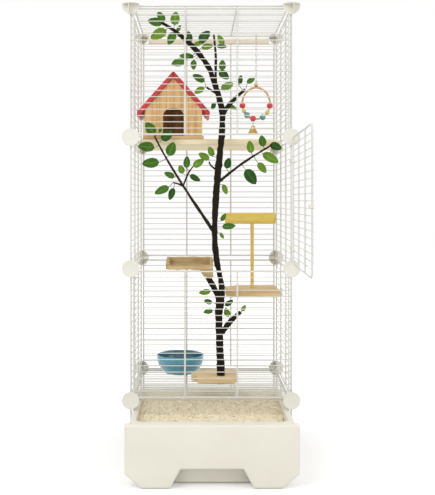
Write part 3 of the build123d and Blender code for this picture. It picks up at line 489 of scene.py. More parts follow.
# welded panels, drawn round: rim, two bars, thin wires on the inner side
def wirePanel(name, width, height, rows):
    work = bmesh.new()
    tip = cage["rod"] / sqrt(3)
    x, y = width / 2 - tip, height / 2 - tip
    rim = [Vector((px, py, 0)) for px, py in roundedOutline(2 * x, 2 * y, cage["cornerRadius"], 6)]
    sweepTube(work, rim, cage["rod"] / 2, 12, closed=True)
    for barX in (-width / 6, width / 6):
        sweepTube(work, [Vector((barX, -y, 0)), Vector((barX, y, 0))], cage["rod"] / 2, 12)
    pitch = 2 * y / (rows + 1)
    for row in range(1, rows + 1):
        z = (cage["rod"] + cage["wire"]) / 2 - cage["weld"]
        ends = [Vector((-x, pitch * row - y, z)), Vector((x, pitch * row - y, z))]
        sweepTube(work, ends, cage["wire"] / 2, 8)
    return meshFrom(name, work)


def wallPlace(side, height):
    spots = {
        "front": ((0, frontY), (1, 0, 0), (0, 1, 0)),
        "back": ((0, backY), (1, 0, 0), (0, -1, 0)),
        "left": ((-cage["half"], middleY), (0, 1, 0), (1, 0, 0)),
        "right": ((cage["half"], middleY), (0, 1, 0), (-1, 0, 0)),
    }
    (x, y), across, inward = spots[side]
    return placeMatrix(Vector((x, y, height)), Vector(across), Vector(inward))


def placeMatrix(origin, across, normal):
    upward = normal.cross(across)
    turn = Matrix((across, upward, normal)).transposed().to_4x4()
    return Matrix.Translation(origin) @ turn


def hangPanel(name, shared, place, node, body="cage"):
    mesh = shared.copy()
    mesh.transform(place)
    return addPiece(name, mesh, body, ["wire"], [node], 60)


wallMesh = wirePanel("wall_wires", cage["panelWide"], cage["panelHigh"], cage["wallRows"])
skirtMesh = wirePanel("skirt_wires", cage["panelWide"], cage["skirtHigh"], cage["skirtRows"])
deckMesh = wirePanel("deck_wires", cage["panelWide"], cage["panelWide"], cage["deckRows"])
for side in ("front", "back", "left", "right"):
    for tierName, level in zip(("bottom", "middle", "top"), cage["levels"]):
        if (side, tierName) != ("front", "middle"):
            place = wallPlace(side, level + cage["panelUp"])
            hangPanel(f"{side}_wires_{tierName}", wallMesh, place, f"{side}_panel_{tierName}")
for side in ("back", "left", "right"):
    place = wallPlace(side, cage["skirtFoot"] + cage["skirtHigh"] / 2)
    hangPanel(f"base_wires_{side}", skirtMesh, place, f"base_panel_{side}")
for node, level, facing in (("roof_panel", cage["levels"][3], -1), ("floor_panel", cage["levels"][0], 1)):
    place = placeMatrix(Vector((0, middleY, level)), Vector((1, 0, 0)), Vector((0, 0, facing)))
    hangPanel(node + "_wires", deckMesh, place, node)

# door, swung open about its hinge wire
door = {"hingeX": 0.224, "drop": 0.0082, "open": 89, "level": 0.738}
tip = cage["rod"] / sqrt(3)
reach = cage["panelWide"] - 2 * tip
hinge = Vector((door["hingeX"], frontY - door["drop"], 0))
shut = placeMatrix(hinge + Vector((-reach / 2, 0, door["level"])), Vector((1, 0, 0)), Vector((0, -1, 0)))
opening = Matrix.Rotation(radians(door["open"]), 4, "Z")
swung = Matrix.Translation(hinge) @ opening @ Matrix.Translation(-hinge) @ shut
hangPanel("door_wires", wallMesh, swung, "door_panel", "door")
print("panels and door hung")

# connectors: dished discs with rounded rims on a small cross
connector = {
    "sink": 0.0004,
    "disc": 0.0239,
    "cap": 0.0021,
    "skin": 0.0027,
    "post": 0.0047,
    "reach": 0.0225,
    "dome": 0.0009,
    "edge": 0.0006,
    "round": 0.0007,
    "cutIn": 0.0002,
}


def addDisc(work, place, cutter=None):
    # cutter: point and normal of a plane that takes off what lies beyond it
    radius, thick, dome = connector["disc"], connector["cap"], connector["dome"]
    edge, bend = connector["edge"], connector["round"]
    profile = [(0, 0), (radius * 0.5, 0), (radius - edge, 0), (radius, edge), (radius, thick - bend)]
    profile += [(radius - bend, thick), (radius * 0.86, thick + 0.0001), (radius * 0.8, thick - dome * 0.4)]
    profile += [(radius * 0.4, thick - dome), (0, thick - dome)]
    before = set(work.verts)
    lathe(work, profile, 48, place)
    if cutter:
        made = [v for v in work.verts if v not in before]
        fresh = set(made)
        geom = made + [e for e in work.edges if e.verts[0] in fresh]
        geom += [f for f in work.faces if f.verts[0] in fresh]
        cut = bmesh.ops.bisect_plane(
            work, geom=geom, plane_co=cutter[0], plane_no=cutter[1], clear_outer=True
        )
        rims = [e for e in cut["geom_cut"] if isinstance(e, bmesh.types.BMEdge)]
        bmesh.ops.holes_fill(work, edges=rims, sides=0)


def addBlock(work, low, high):
    plan = ((low[0], low[1]), (high[0], low[1]), (high[0], high[1]), (low[0], high[1]))
    verts = [work.verts.new((x, y, z)) for z in (low[2], high[2]) for x, y in plan]
    for face in ((0, 3, 2, 1), (4, 5, 6, 7), (0, 1, 5, 4), (1, 2, 6, 5), (2, 3, 7, 6), (3, 0, 4, 7)):
        work.faces.new([verts[i] for i in face])


def connectorMesh(name, level, kind):
    work = bmesh.new()
    x, y = -cage["half"], frontY
    post, reachOut, skin = connector["post"], connector["reach"], connector["skin"]
    facing = {
        "front": placeMatrix(Vector((x, y - skin, level)), Vector((1, 0, 0)), Vector((0, -1, 0))),
        "side": placeMatrix(Vector((x - skin, y, level)), Vector((0, -1, 0)), Vector((-1, 0, 0))),
        "up": placeMatrix(Vector((x, y, level + skin)), Vector((1, 0, 0)), Vector((0, 0, 1))),
    }
    sunk = skin + connector["sink"]  # arms start inside the discs
    high = level + (sunk if kind == "top" else reachOut)
    addBlock(work, (x - sunk, y - sunk, level - reachOut), (x + post, y + post, high))
    addBlock(work, (x + post, y - sunk, level - post), (x + reachOut, y + post, min(high, level + post)))
    addBlock(work, (x - sunk, y + post, level - post), (x + post, y + reachOut, min(high, level + post)))
    if kind == "top":
        addDisc(work, facing["up"])
        cutter = (Vector((x, y, level + skin - connector["cutIn"])), Vector((0, 0, 1)))
        addDisc(work, facing["front"], cutter)
        addDisc(work, facing["side"], cutter)
    else:
        addDisc(work, facing["front"])
        addDisc(work, facing["side"], (Vector((x, y - skin, level)), Vector((0, -1, 0))))
    corner = meshFrom(name, work)
    whole = bmesh.new()
    for flipX in (1, -1):
        for flipY in (1, -1):
            copy = corner.copy()
            flip = Matrix.Diagonal((flipX, flipY, 1, 1))
            copy.transform(Matrix.Translation((0, middleY, 0)) @ flip @ Matrix.Translation((0, -middleY, 0)))
            whole.from_mesh(copy)
            bpy.data.meshes.remove(copy)
    return meshFrom(name, whole)


for node, level, kind in (
    ("top_connectors", cage["levels"][3], "top"),
    ("upper_connectors", cage["levels"][2], "wall"),
    ("lower_connectors", cage["levels"][1], "wall"),
    ("base_connectors", cage["levels"][0], "wall"),
):
    mesh = connectorMesh(node + "_moulded", level, kind)
    addPiece(node + "_moulded", mesh, "cage", ["connector"], [node], 35)
softened("foot_caps", "cage", "connector", 0.0008)
softened("door_hinge_clips", "cage", "connector", 0.0006)
softened("door_latch", "latch", "connector", 0.0006)
print("connectors moulded")

# drawer front: a shell with round lips, closed in front and open behind
drawer = {
    "backY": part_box("drawer_front")[1][1],
    "deep": 0.022,
    "wide": 0.450,
    "high": 0.164,
    "gap": 0.001,
    "cornerWide": 0.043,
    "cornerHigh": 0.037,
    "notchFoot": 0.214,
    "notchTop": 0.161,
    "notchHigh": 0.050,
    "notchEase": 0.62,
    "cornerEase": 0.45,
    "lip": 0.0065,
    "lipRows": ((0.0008, 0.0036), (0.0025, 0.0014), (0.0048, 0.0003), (0.0065, 0)),
    "wall": 0.004,
}


def roundedPath(corners, steps=5):
    # corners of (x, z, radius), filleted
    path = []
    count = len(corners)
    for index, (x, z, radius) in enumerate(corners):
        here = Vector((x, z))
        before = (Vector(corners[index - 1][:2]) - here).normalized()
        after = (Vector(corners[(index + 1) % count][:2]) - here).normalized()
        if radius <= 0:
            path.append(here)
            continue
        half = before.angle(after) / 2
        cut = radius / tan(half)
        centre = here + (before + after).normalized() * radius / sin(half)
        start, end = here + before * cut - centre, here + after * cut - centre
        for step in range(steps + 1):
            path.append(centre + start.slerp(end, step / steps) * radius)
    return path


def drawerOutline(inset):
    half = drawer["wide"] / 2 - inset
    top, foot = drawer["high"] - inset, drawer["gap"] + inset
    notchTop = drawer["notchTop"] / 2 + inset * drawer["notchEase"]
    notchFoot = drawer["notchFoot"] / 2 + inset * drawer["notchEase"]
    low = drawer["notchHigh"] + inset
    ease = inset * drawer["cornerEase"]
    corner = (drawer["wide"] / 2 - drawer["cornerWide"] - ease, drawer["cornerHigh"] + ease)
    right = [
        (notchTop, low, 0.008),
        (notchFoot, foot, 0.002),
        (corner[0], foot, 0.004),
        (half, corner[1], 0.004),
        (half, top, 0.003),
    ]
    left = [(-x, z, r) for x, z, r in reversed(right)]
    return roundedPath(right + left)


def drawerFrontMesh():
    work = bmesh.new()
    face = drawer["backY"] - drawer["deep"]
    loops = []
    for inset, depth in ((0, drawer["deep"]), (0, drawer["lip"]), *drawer["lipRows"]):
        loops.append([work.verts.new((p.x, face + depth, p.y)) for p in drawerOutline(inset)])
    for one, two in zip(loops, loops[1:]):
        joinRings(work, one, two)
    rims = [e for e in work.edges if e.is_boundary and abs(e.verts[0].co.y - face) < 1e-7]
    bmesh.ops.triangle_fill(work, edges=rims, use_beauty=True)
    inner = []
    for y in (drawer["backY"], face + drawer["wall"]):
        inner.append([work.verts.new((p.x, y, p.y)) for p in drawerOutline(drawer["wall"])])
    for one, two in zip([loops[0], inner[0]], inner):
        joinRings(work, two, one)
    deepest = set(inner[1])
    rims = [e for e in work.edges if e.verts[0] in deepest and e.verts[1] in deepest and e.is_boundary]
    bmesh.ops.triangle_fill(work, edges=rims)
    return meshFrom("drawer_front_shell", work)


addPiece("drawer_front_shell", drawerFrontMesh(), "drawer", ["drawer"], ["drawer_front"], 28)

tray = {
    "rim": 0.016,
    "wall": 0.003,
    "skirt": 0.018,
    "corner": 0.02,
    "draft": tan(radians(3)),
    "lip": 0.0022,
    "bend": 0.004,
    "bendUp": 0.006,
}
trayLow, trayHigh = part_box("drawer_tray")


def trayLoop(work, inset, height, radius):
    wide, deep = trayHigh[0] - trayLow[0] - 2 * inset, trayHigh[1] - trayLow[1] - 2 * inset
    centreY = (trayLow[1] + trayHigh[1]) / 2
    outline = roundedOutline(wide, deep, max(radius, 0.002), 6)
    return [work.verts.new((x, centreY + y, height)) for x, y in outline]


def trayMesh():
    work = bmesh.new()
    top, foot = trayHigh[2], trayLow[2]
    rim, wall, skirt, corner, lip = (tray[key] for key in ("rim", "wall", "skirt", "corner", "lip"))
    bend, bendUp = tray["bend"], tray["bendUp"]
    deep = tray["draft"] * (top - foot)
    rows = [
        (wall, top - skirt, corner - wall),
        (0, top - skirt, corner),
        (0, top - lip, corner),
        (lip * 0.3, top - lip * 0.3, corner),
        (lip, top, corner - lip),
        (rim - lip, top, corner),
        (rim - lip * 0.3, top - lip * 0.3, corner),
        (rim, top - lip, corner),
        (rim + deep - bend, foot + wall + bendUp, corner),
        (rim + deep + bend, foot + wall, corner),
    ]
    under = [
        (wall, top - wall, corner - wall),
        (rim - wall, top - wall, corner),
        (rim - wall + deep - bend, foot + bendUp, corner),
        (rim - wall + deep + bend, foot, corner),
    ]
    loops = [trayLoop(work, *row) for row in rows]
    outside = [trayLoop(work, *row) for row in under]
    chain = list(zip(loops, loops[1:])) + [(loops[0], outside[0])] + list(zip(outside, outside[1:]))
    for one, two in chain:
        joinRings(work, one, two)
    work.faces.new(loops[-1])
    work.faces.new(list(reversed(outside[-1])))
    return meshFrom("drawer_tray_shell", work)


addPiece("drawer_tray_shell", trayMesh(), "drawer", ["drawer"], ["drawer_tray"], 35)

# bedding: a lumpy heap with loose flakes on it
bedding = {
    "gap": 0.0006,
    "lift": 0.0004,
    "columns": 96,
    "rows": 90,
    "lump": 0.0072,
    "lumps": ((28, 0.5), (75, 0.3), (190, 0.2)),
    "profile": ((0, 0.137), (0.03, 0.139), (0.088, 0.137), (0.128, 0.149), (0.218, 0.152), (0.37, 0.147)),
    "settled": 0.001,
    "flakes": 3400,
    "margin": 0.006,
    "raised": 0.0016,
    "long": (0.004, 0.011),
    "wide": (0.0016, 0.0036),
    "curl": 2.6,
    "tip": 0.6,
    "lean": 0.5,
    "seed": 11,
}


def heapHeight(x, y):
    start = trayLow[1] + tray["rim"]
    along = y - start
    stops = bedding["profile"]
    for (a, low), (b, high) in zip(stops, stops[1:]):
        if along <= b:
            share = max(0.0, (along - a) / (b - a))
            height = low + (high - low) * (share * share * (3 - 2 * share))
            break
    else:
        height = stops[-1][1]
    spot = Vector((x, y, 0.3))
    lumps = sum(noise.noise(spot * scale) * weight for scale, weight in bedding["lumps"])
    return height + lumps * bedding["lump"] - bedding["settled"]


def beddingMesh():
    work = bmesh.new()
    inset = tray["rim"] + bedding["gap"]
    lowX, highX = trayLow[0] + inset, trayHigh[0] - inset
    lowY, highY = trayLow[1] + inset, trayHigh[1] - inset
    columns, rows = bedding["columns"], bedding["rows"]
    grid = []
    for row in range(rows + 1):
        line = []
        for column in range(columns + 1):
            x = lowX + (highX - lowX) * column / columns
            y = lowY + (highY - lowY) * row / rows
            z = heapHeight(x, y)
            shrink = tray["draft"] * (trayHigh[2] - z)
            x = max(lowX + shrink, min(highX - shrink, x))
            y = max(lowY + shrink, min(highY - shrink, y))
            line.append(work.verts.new((x, y, z)))
        grid.append(line)
    for one, two in zip(grid, grid[1:]):
        for column in range(columns):
            work.faces.new((one[column], one[column + 1], two[column + 1], two[column]))
    edge = grid[0] + [line[-1] for line in grid[1:]]
    edge += list(reversed(grid[-1][:-1])) + [line[0] for line in reversed(grid[1:-1])]
    foot = trayLow[2] + tray["wall"] + bedding["gap"] + bedding["lift"]
    margin = bedding["margin"]
    shrink = tray["draft"] * (trayHigh[2] - foot) + margin
    floor = []
    for vert in edge:
        x = max(lowX + shrink, min(highX - shrink, vert.co.x))
        y = max(lowY + shrink, min(highY - shrink, vert.co.y))
        floor.append(work.verts.new((x, y, foot)))
    joinRings(work, floor, edge)
    work.faces.new(floor)
    chance = random.Random(bedding["seed"])
    for _ in range(bedding["flakes"]):
        x = chance.uniform(lowX + margin, highX - margin)
        y = lowY + margin + (highY - lowY - 2 * margin) * chance.random() ** 1.5
        centre = Vector((x, y, heapHeight(x, y) + chance.uniform(0.0, bedding["raised"])))
        length, width = chance.uniform(*bedding["long"]), chance.uniform(*bedding["wide"])
        curl = chance.uniform(0.0, bedding["curl"])
        spin = Matrix.Rotation(chance.uniform(0, 6.28), 4, "Z")
        spin = spin @ Matrix.Rotation(chance.uniform(-bedding["tip"], bedding["tip"]), 4, "X")
        spin = spin @ Matrix.Rotation(chance.uniform(-bedding["lean"], bedding["lean"]), 4, "Y")
        bow = length / max(curl, 0.2)
        strip = []
        for step in range(5):
            turn = curl * (step / 4 - 0.5)
            rise = bow * (cos(turn) - cos(curl / 2)) * 0.7
            spots = [Vector((bow * sin(turn), side * width, rise)) for side in (-0.5, 0.5)]
            strip.append([work.verts.new(centre + (spin @ spot)) for spot in spots])
        for one, two in zip(strip, strip[1:]):
            work.faces.new((one[0], one[1], two[1], two[0])).material_index = 1
    return meshFrom("bedding_heap", work, facing=False)


addPiece("bedding_heap", beddingMesh(), "drawer", ["bedding", "flakes"], ["bedding"], 80)
print("drawer and bedding made")

# boards and the house keep the solids' shapes, with broken edges
for node, slotName, finish, bevel in (
    ("shelf_board", "pale_wood", "shelf", 0.0012),
    ("rear_batten", "pale_wood", "batten", 0.0006),
    ("corner_shelf", "pale_wood", "corner", 0.0012),
    ("branch_base", "pale_wood", "block", 0.0014),
    ("branch_screw", "steel", "steel", 0.0004),
    ("shelf_fixings", "steel", "steel", 0.0004),
    ("corner_fixings", "steel", "steel", 0.0004),
    ("house_base", "house_wood", "houseBase", 0.001),
    ("house_front_wall", "house_wood", "houseWall", 0.0008),
    ("house_back_wall", "house_wood", "houseWall", 0.0008),
    ("house_side_walls", "house_wood", "houseWall", 0.0006),
    ("house_roof_left", "roof_paint", "roof", 0.003),
    ("house_roof_right", "roof_paint", "roof", 0.003),
):
    softened(node, "cage", finish, bevel)
print("boards and house finished")

# branch: limbs of (x, y from the middle, z, thickness) in millimetres, as in the solid
limbs = {
    "trunk": (
        (33, -10, 217, 29), (30, -22, 294, 24), (26, -38, 390, 24), (30, -47, 446, 28),
        (34, -52, 480, 18), (29, -57, 515, 16), (19, -66, 565, 18), (12, -78, 640, 18),
        (15, -92, 725, 19), (20, -104, 805, 20), (28, -118, 885, 19), (33, -120, 940, 18),
        (33, -120, 990, 18), (25, -120, 1030, 17), (9, -128, 1078, 17), (-5, -140, 1114, 16),
        (-44, -158, 1164, 15), (-100, -174, 1211, 11), (-138, -183, 1233, 8),
    ),
    "stem": ((28, -47, 446, 20), (11, -53, 482, 19), (-8, -58, 516, 18)),
    "stump": ((34, -31, 346, 20), (59, -36, 380, 17), (90, -41, 410, 11)),
    "fork": ((36, -120, 985, 14), (58, -120, 1017, 13), (101, -120, 1058, 8)),
    "spike": ((14, -126, 1066, 9), (14, -150, 1148, 7), (8, -168, 1205, 5)),
    "spur": ((18, -120, 1044, 9), (-13, -120, 1062, 6)),
    "leftTwig": ((12, -79, 645, 11), (-67, -98, 763, 8), (-124, -112, 855, 6), (-160, -120, 922, 5)),
    "lowTwig": ((-78, -99, 780, 6), (-95, -100, 787, 5), (-108, -101, 790, 4)),
    "midTwig": ((-78, -100, 782, 6), (-64, -106, 816, 5), (-50, -108, 836, 4)),
    "rightTwig": ((24, -104, 792, 9), (93, -111, 846, 7), (176, -118, 898, 5)),
    "smallTwig": ((22, -110, 822, 6), (2, -111, 838, 5), (-4, -111, 850, 4)),
}
bark = {"step": 0.006, "sides": 18, "lumps": 0.22, "knobs": 0.16, "knobScale": 34, "thin": 0.94}


def limbMesh():
    work = bmesh.new()
    for name, points in limbs.items():
        inMetres = [(x / 1000, y / 1000 + middleY, z / 1000, t / 2000) for x, y, z, t in points]
        spots, widths = [], []
        for place in smoothProfile(inMetres, 12):
            spot = Vector(place[:3])
            if spots and (spot - spots[-1]).length < bark["step"] * 0.5:
                continue
            spots.append(spot)
            knob = 1 + bark["knobs"] * noise.noise(spot * bark["knobScale"])
            widths.append(place[3] * bark["thin"] * knob)
        for face in sweepTube(work, spots, widths, bark["sides"], lumps=bark["lumps"]):
            face.material_index = 0 if name in ("trunk", "stem", "stump") else 1
    return meshFrom("bark_limbs", work)


addPiece("bark_limbs", limbMesh(), "cage", ["bark", "twig"], ["branch"], 80)
print("branch grown")

# leaves: middle x and z, length, width in millimetres, heading in degrees, step back from the wood
leafRows = {
    "leaves_upper": (
        (-156, 1236, 38, 26, 165, 5.4), (-139, 1249, 30, 20, 118, 1.1), (-99, 1246, 34, 26, 85, 0),
        (-146, 1201, 46, 28, -150, -1.1), (-110, 1190, 36, 22, -115, 0), (-89, 1219, 19, 10, 60, -1.1),
        (-17, 1199, 38, 27, 50, 0), (-9, 1171, 32, 18, 10, 1.1), (28, 1190, 30, 16, 115, 0),
        (32, 1172, 28, 12, 0, 1.1), (-60, 1198, 30, 16, 100, 0), (-32, 1180, 30, 14, 20, -1.1),
        (-68, 1144, 38, 18, 175, 0), (-48, 1120, 26, 17, -90, 1.1), (-92, 1126, 36, 23, -165, -1.1),
        (33, 1122, 27, 20, 85, 0), (38, 1094, 32, 22, -40, 1.1), (-34, 1088, 36, 20, 150, 0),
        (-32, 1053, 30, 19, -150, 4.4), (48, 1064, 36, 22, 25, 0), (64, 1005, 28, 13, -25, 8.4),
        (84, 1082, 27, 15, 75, -1.1), (116, 1082, 27, 16, 40, 0), (8, 1008, 20, 13, -110, 0),
    ),
    "leaves_middle": (
        (-172, 944, 38, 27, 125, 0), (-143, 941, 14, 10, 70, 1.1), (-124, 925, 38, 27, 45, 0),
        (-184, 892, 44, 28, 175, 1.1), (-112, 886, 38, 28, 70, 1.1), (1, 879, 28, 18, 110, 0),
        (114, 892, 33, 20, 100, 0), (148, 909, 30, 21, 100, 1.1), (188, 893, 34, 22, -20, 3.9),
        (172, 860, 48, 25, -30, -1.1), (-172, 846, 46, 27, -175, 0), (-84, 828, 24, 18, 110, -1.1),
        (-68, 849, 32, 19, 85, 0), (-34, 846, 34, 21, 35, 1.1), (-44, 803, 32, 16, -30, 0),
        (-19, 865, 32, 19, 150, -1.1), (50, 846, 30, 20, 75, 1.1), (116, 806, 48, 30, -55, 0),
        (148, 832, 34, 20, -50, 1.1), (-118, 812, 30, 17, 155, 1.1), (-140, 768, 42, 22, -155, 0),
        (-112, 757, 34, 18, -110, 1.1), (42, 770, 28, 15, -70, 0),
    ),
    "leaves_lower": (
        (38, 690, 23, 13, 60, 0), (54, 664, 36, 18, 5, 1.1), (34, 636, 18, 10, -60, 0),
        (-16, 470, 32, 17, -170, 0), (-6, 441, 24, 15, 160, 1.1), (-6, 412, 26, 15, -170, 0),
        (56, 437, 27, 15, 35, 0), (50, 408, 26, 18, 110, 1.1), (99, 421, 20, 12, 60, 0),
    ),
}
leafLook = {
    "rows": 12,
    "across": 4,
    "full": 1.1,
    "teeth": 0.06,
    "ripple": 0.05,
    "fold": 0.14,
    "droop": 0.12,
    "tilt": 0.3,
    "stalk": 0.0008,
    "yaw": 0.16,
    "roll": 0.3,
    "seed": 5,
}


def nearestWood(x, z):
    best = None
    for points in limbs.values():
        for low, high in zip(points, points[1:]):
            run, rise = high[0] - low[0], high[2] - low[2]
            share = max(0, min(1, ((x - low[0]) * run + (z - low[2]) * rise) / (run**2 + rise**2)))
            place = [a + (b - a) * share for a, b in zip(low, high)]
            away = hypot(x - place[0], z - place[2]) - place[3] / 2
            if best is None or away < best[0]:
                best = (away, place)
    x, y, z, thick = best[1]
    return Vector((x / 1000, middleY + y / 1000, z / 1000)), thick / 2000


def leafBlade(work, layer, base, along, across, face, length, width, tone):
    # a folded blade with a toothed edge, in rows from foot to tip
    rows, spread = leafLook["rows"], leafLook["across"]
    grid = []
    for row in range(rows + 1):
        share = row / rows
        tooth = 1 - leafLook["teeth"] * (row % 2)
        half = width / 2000 * sin(pi * share**0.8) ** 0.62 * tooth
        droop = leafLook["droop"] * (share - 0.35) ** 2 * length / 1000
        line = []
        for column in range(-spread, spread + 1):
            side = column / spread
            ripple = leafLook["ripple"] * sin(share * 21 + abs(side) * 2) * abs(side)
            lift = (leafLook["fold"] * abs(side) + ripple) * half - droop
            spot = base + along * (share * length / 1000) + across * (side * half) + face * lift
            line.append((work.verts.new(spot), (share, (side + 1) / 2)))
        grid.append(line)
    for one, two in zip(grid, grid[1:]):
        for column in range(2 * spread):
            corners = (one[column], one[column + 1], two[column + 1], two[column])
            made = work.faces.new([c[0] for c in corners])
            made.material_index = tone
            for loop, corner in zip(made.loops, corners):
                loop[layer].uv = corner[1]


def leafMesh(node):
    work = bmesh.new()
    layer = work.loops.layers.uv.new("leaf")
    chance = random.Random(leafLook["seed"] + len(node))
    stalk = leafLook["stalk"]
    for x, z, length, width, heading, back in leafRows[node]:
        length, width = length * leafLook["full"], width * leafLook["full"]
        turn = radians(heading)
        baseX, baseZ = x - length / 2 * cos(turn), z - length / 2 * sin(turn)
        wood, thick = nearestWood(baseX, baseZ)
        base = Vector((baseX / 1000, wood.y + back / 1000, baseZ / 1000))
        yaw = chance.uniform(-leafLook["yaw"], leafLook["yaw"])
        along = Vector((cos(turn), yaw, sin(turn))).normalized()
        roll = chance.uniform(-leafLook["roll"], leafLook["roll"])
        face = Vector((roll, -1, chance.uniform(0.0, leafLook["tilt"])))
        face = (face - along * face.dot(along)).normalized()
        tone = chance.choice((0, 1, 1, 2))
        leafBlade(work, layer, base, along, along.cross(face), face, length, width, tone)
        towards = wood - base
        if towards.length > thick * 0.6:
            bend = base + towards * 0.5 + Vector((0, 0, -0.05 * towards.length))
            ends = [base + along * 0.003, base, bend, wood]
            for made in sweepTube(work, ends, [stalk * 0.7, stalk, stalk, stalk * 1.2], 6):
                made.material_index = 3
    bmesh.ops.remove_doubles(work, verts=work.verts, dist=0.00002)
    return meshFrom(node + "_blades", work, facing=False)


for node in leafRows:
    tones = ["deepLeaf", "midLeaf", "freshLeaf", "twig"]
    addPiece(node + "_blades", leafMesh(node), "cage", tones, [node], 70)
print("leaves set")

# ledge: a split log trough with bark left on its rims
log = {
    "voxel": 0.0017,
    "rough": 0.0022,
    "roughScale": 45,
    "fine": 0.0007,
    "fineScale": 260,
    "bark": 0.35,
    "barkScale": 60,
    "backEdge": 0.006,
}


def weathered(node):
    # the solid made uneven, with bark left on its lower and outer faces
    source = intoScene(bpy.data.objects.new("source", cadNodes[node].data.copy()))
    remesh = source.modifiers.new("remesh", "REMESH")
    remesh.mode = "VOXEL"
    remesh.voxel_size = log["voxel"]
    smoothing = source.modifiers.new("smooth", "SMOOTH")
    smoothing.iterations = 4
    bpy.context.view_layer.update()
    mesh = bpy.data.meshes.new_from_object(source.evaluated_get(bpy.context.evaluated_depsgraph_get()))
    bpy.data.objects.remove(source)
    work = bmesh.new()
    work.from_mesh(mesh)
    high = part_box(node)[1]
    work.normal_update()
    for vert in work.verts:
        swell = noise.noise(vert.co * log["roughScale"]) * log["rough"]
        swell += noise.noise(vert.co * log["fineScale"]) * log["fine"]
        vert.co += vert.normal * swell
    for face in work.faces:
        centre = face.calc_center_median()
        outside = face.normal.z < -0.3 or centre.y > high[1] - log["backEdge"]
        patchy = noise.noise(centre * log["barkScale"]) + abs(face.normal.x) * 0.5 > log["bark"]
        face.material_index = 1 if outside or (patchy and face.normal.z < 0.6) else 0
    work.to_mesh(mesh)
    work.free()
    mesh.materials.clear()
    return addPiece(node + "_log", mesh, "cage", ["ledge", "ledgeBark"], [node], 80)


weathered("ledge_tray")
weathered("ledge_bracket")

# perch: a turned dowel under a yellow tube
softened("perch_post", "cage", "post", 0.0006)
perch = {
    "radius": 0.0175,
    "wall": 0.0025,
    "half": 0.079,
    "lip": 0.0006,
    "turn": -12,
    "x": 0.130,
    "y": 0.138,
    "z": 0.682,
}


def rollMesh():
    work = bmesh.new()
    radius, wall, half, lip = (perch[key] for key in ("radius", "wall", "half", "lip"))
    profile = [(radius - wall, -half + lip), (radius - wall + lip, -half)]
    profile += [(radius - lip, -half), (radius, -half + lip)]
    profile += [(r, -z) for r, z in reversed(profile)]
    way = Matrix.Rotation(radians(perch["turn"]), 4, "Z") @ Matrix.Rotation(radians(90), 4, "Y")
    place = Matrix.Translation((perch["x"], middleY + perch["y"], perch["z"])) @ way
    lathe(work, profile + profile[:1], 48, place)
    bmesh.ops.remove_doubles(work, verts=work.verts, dist=0.00001)
    return meshFrom("perch_tube", work)


addPiece("perch_tube", rollMesh(), "cage", ["perch"], ["perch_roll"], 40)
print("perch made")

# swing: hook, chain, hoop with beads, bell
swing = {
    "x": 0.150,
    "wire": 0.0007,
    "links": 12,
    "long": 0.014,
    "wide": 0.0064,
    "eye": 0.008,
    "hookWire": 0.0011,
    "hookRadius": 0.0040,
}
hookLow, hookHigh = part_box("swing_hook")
chainLow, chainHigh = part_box("swing_chain")
swingY = (hookLow[1] + hookHigh[1]) / 2


def linkLoop(top, across, long, wide, thick):
    # points of a long link that hangs from its top
    points = []
    radius = wide / 2 - thick
    for centreZ, start in ((top - thick - radius, 0), (top - long + thick + radius, 180)):
        for step in range(7):
            turn = radians(start + 180 * step / 6)
            centre = Vector((swing["x"], swingY, centreZ + radius * sin(turn)))
            points.append(centre + across * radius * cos(turn))
    return points


def chainMesh():
    work = bmesh.new()
    pitch = (chainHigh[2] - chainLow[2] - swing["long"]) / (swing["links"] - 1)
    for index in range(swing["links"]):
        across = Vector((1, 0, 0)) if index % 2 == 0 else Vector((0, 1, 0))
        loop = linkLoop(chainHigh[2] - index * pitch, across, swing["long"], swing["wide"], swing["wire"])
        sweepTube(work, loop, swing["wire"], 8, closed=True)
    return meshFrom("swing_links", work)


addPiece("swing_links", chainMesh(), "chain", ["chain"], ["swing_chain"], 60)


def hookMesh():
    work = bmesh.new()
    radius = swing["hookRadius"]
    top, low = hookHigh[2] - swing["hookWire"], hookLow[2] + swing["hookWire"]
    points = []
    for start, centreZ in ((200, top - radius), (0, low + radius)):
        for step in range(9):
            turn = radians(start - 200 * step / 8)
            spot = (swing["x"], swingY + radius * cos(turn), centreZ + radius * sin(turn))
            points.append(Vector(spot))
    sweepTube(work, points, swing["hookWire"], 10)
    return meshFrom("swing_bent_hook", work)


addPiece("swing_bent_hook", hookMesh(), "cage", ["chain"], ["swing_hook"], 60)

hoop = {
    "wide": 0.088,
    "high": 0.100,
    "thick": 0.0068,
    "knobHigh": 0.012,
    "collar": 0.0035,
    "strand": 0.0009,
    "turns": 7,
    "beadPlay": 0.0004,
}
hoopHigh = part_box("swing_hoop")[1]
knobTop = hoopHigh[2] - swing["eye"]
hoopTop = knobTop - hoop["knobHigh"]
hoopCentre = hoopTop - hoop["collar"] - hoop["high"] / 2
beads = {
    "red": {"size": 0.020, "angles": (-82, -13, 81)},
    "teal": {"size": 0.020, "angles": (-42, 28)},
    "yellow": {"size": 0.015, "angles": (-62, 54)},
}
hangerAngle = -13


def hoopSpot(angle):
    turn = radians(angle)
    x = swing["x"] + hoop["wide"] / 2 * sin(turn)
    spot = Vector((x, swingY, hoopCentre - hoop["high"] / 2 * cos(turn)))
    way = Vector((hoop["wide"] * cos(turn), 0, hoop["high"] * sin(turn))).normalized()
    return spot, way


def addEye(work, x, top, across):
    # a small closed loop of wire that hangs from its top
    loop = linkLoop(top, across, swing["eye"], swing["wide"], swing["wire"])
    return sweepTube(work, [p + Vector((x - swing["x"], 0, 0)) for p in loop], swing["wire"], 8, closed=True)


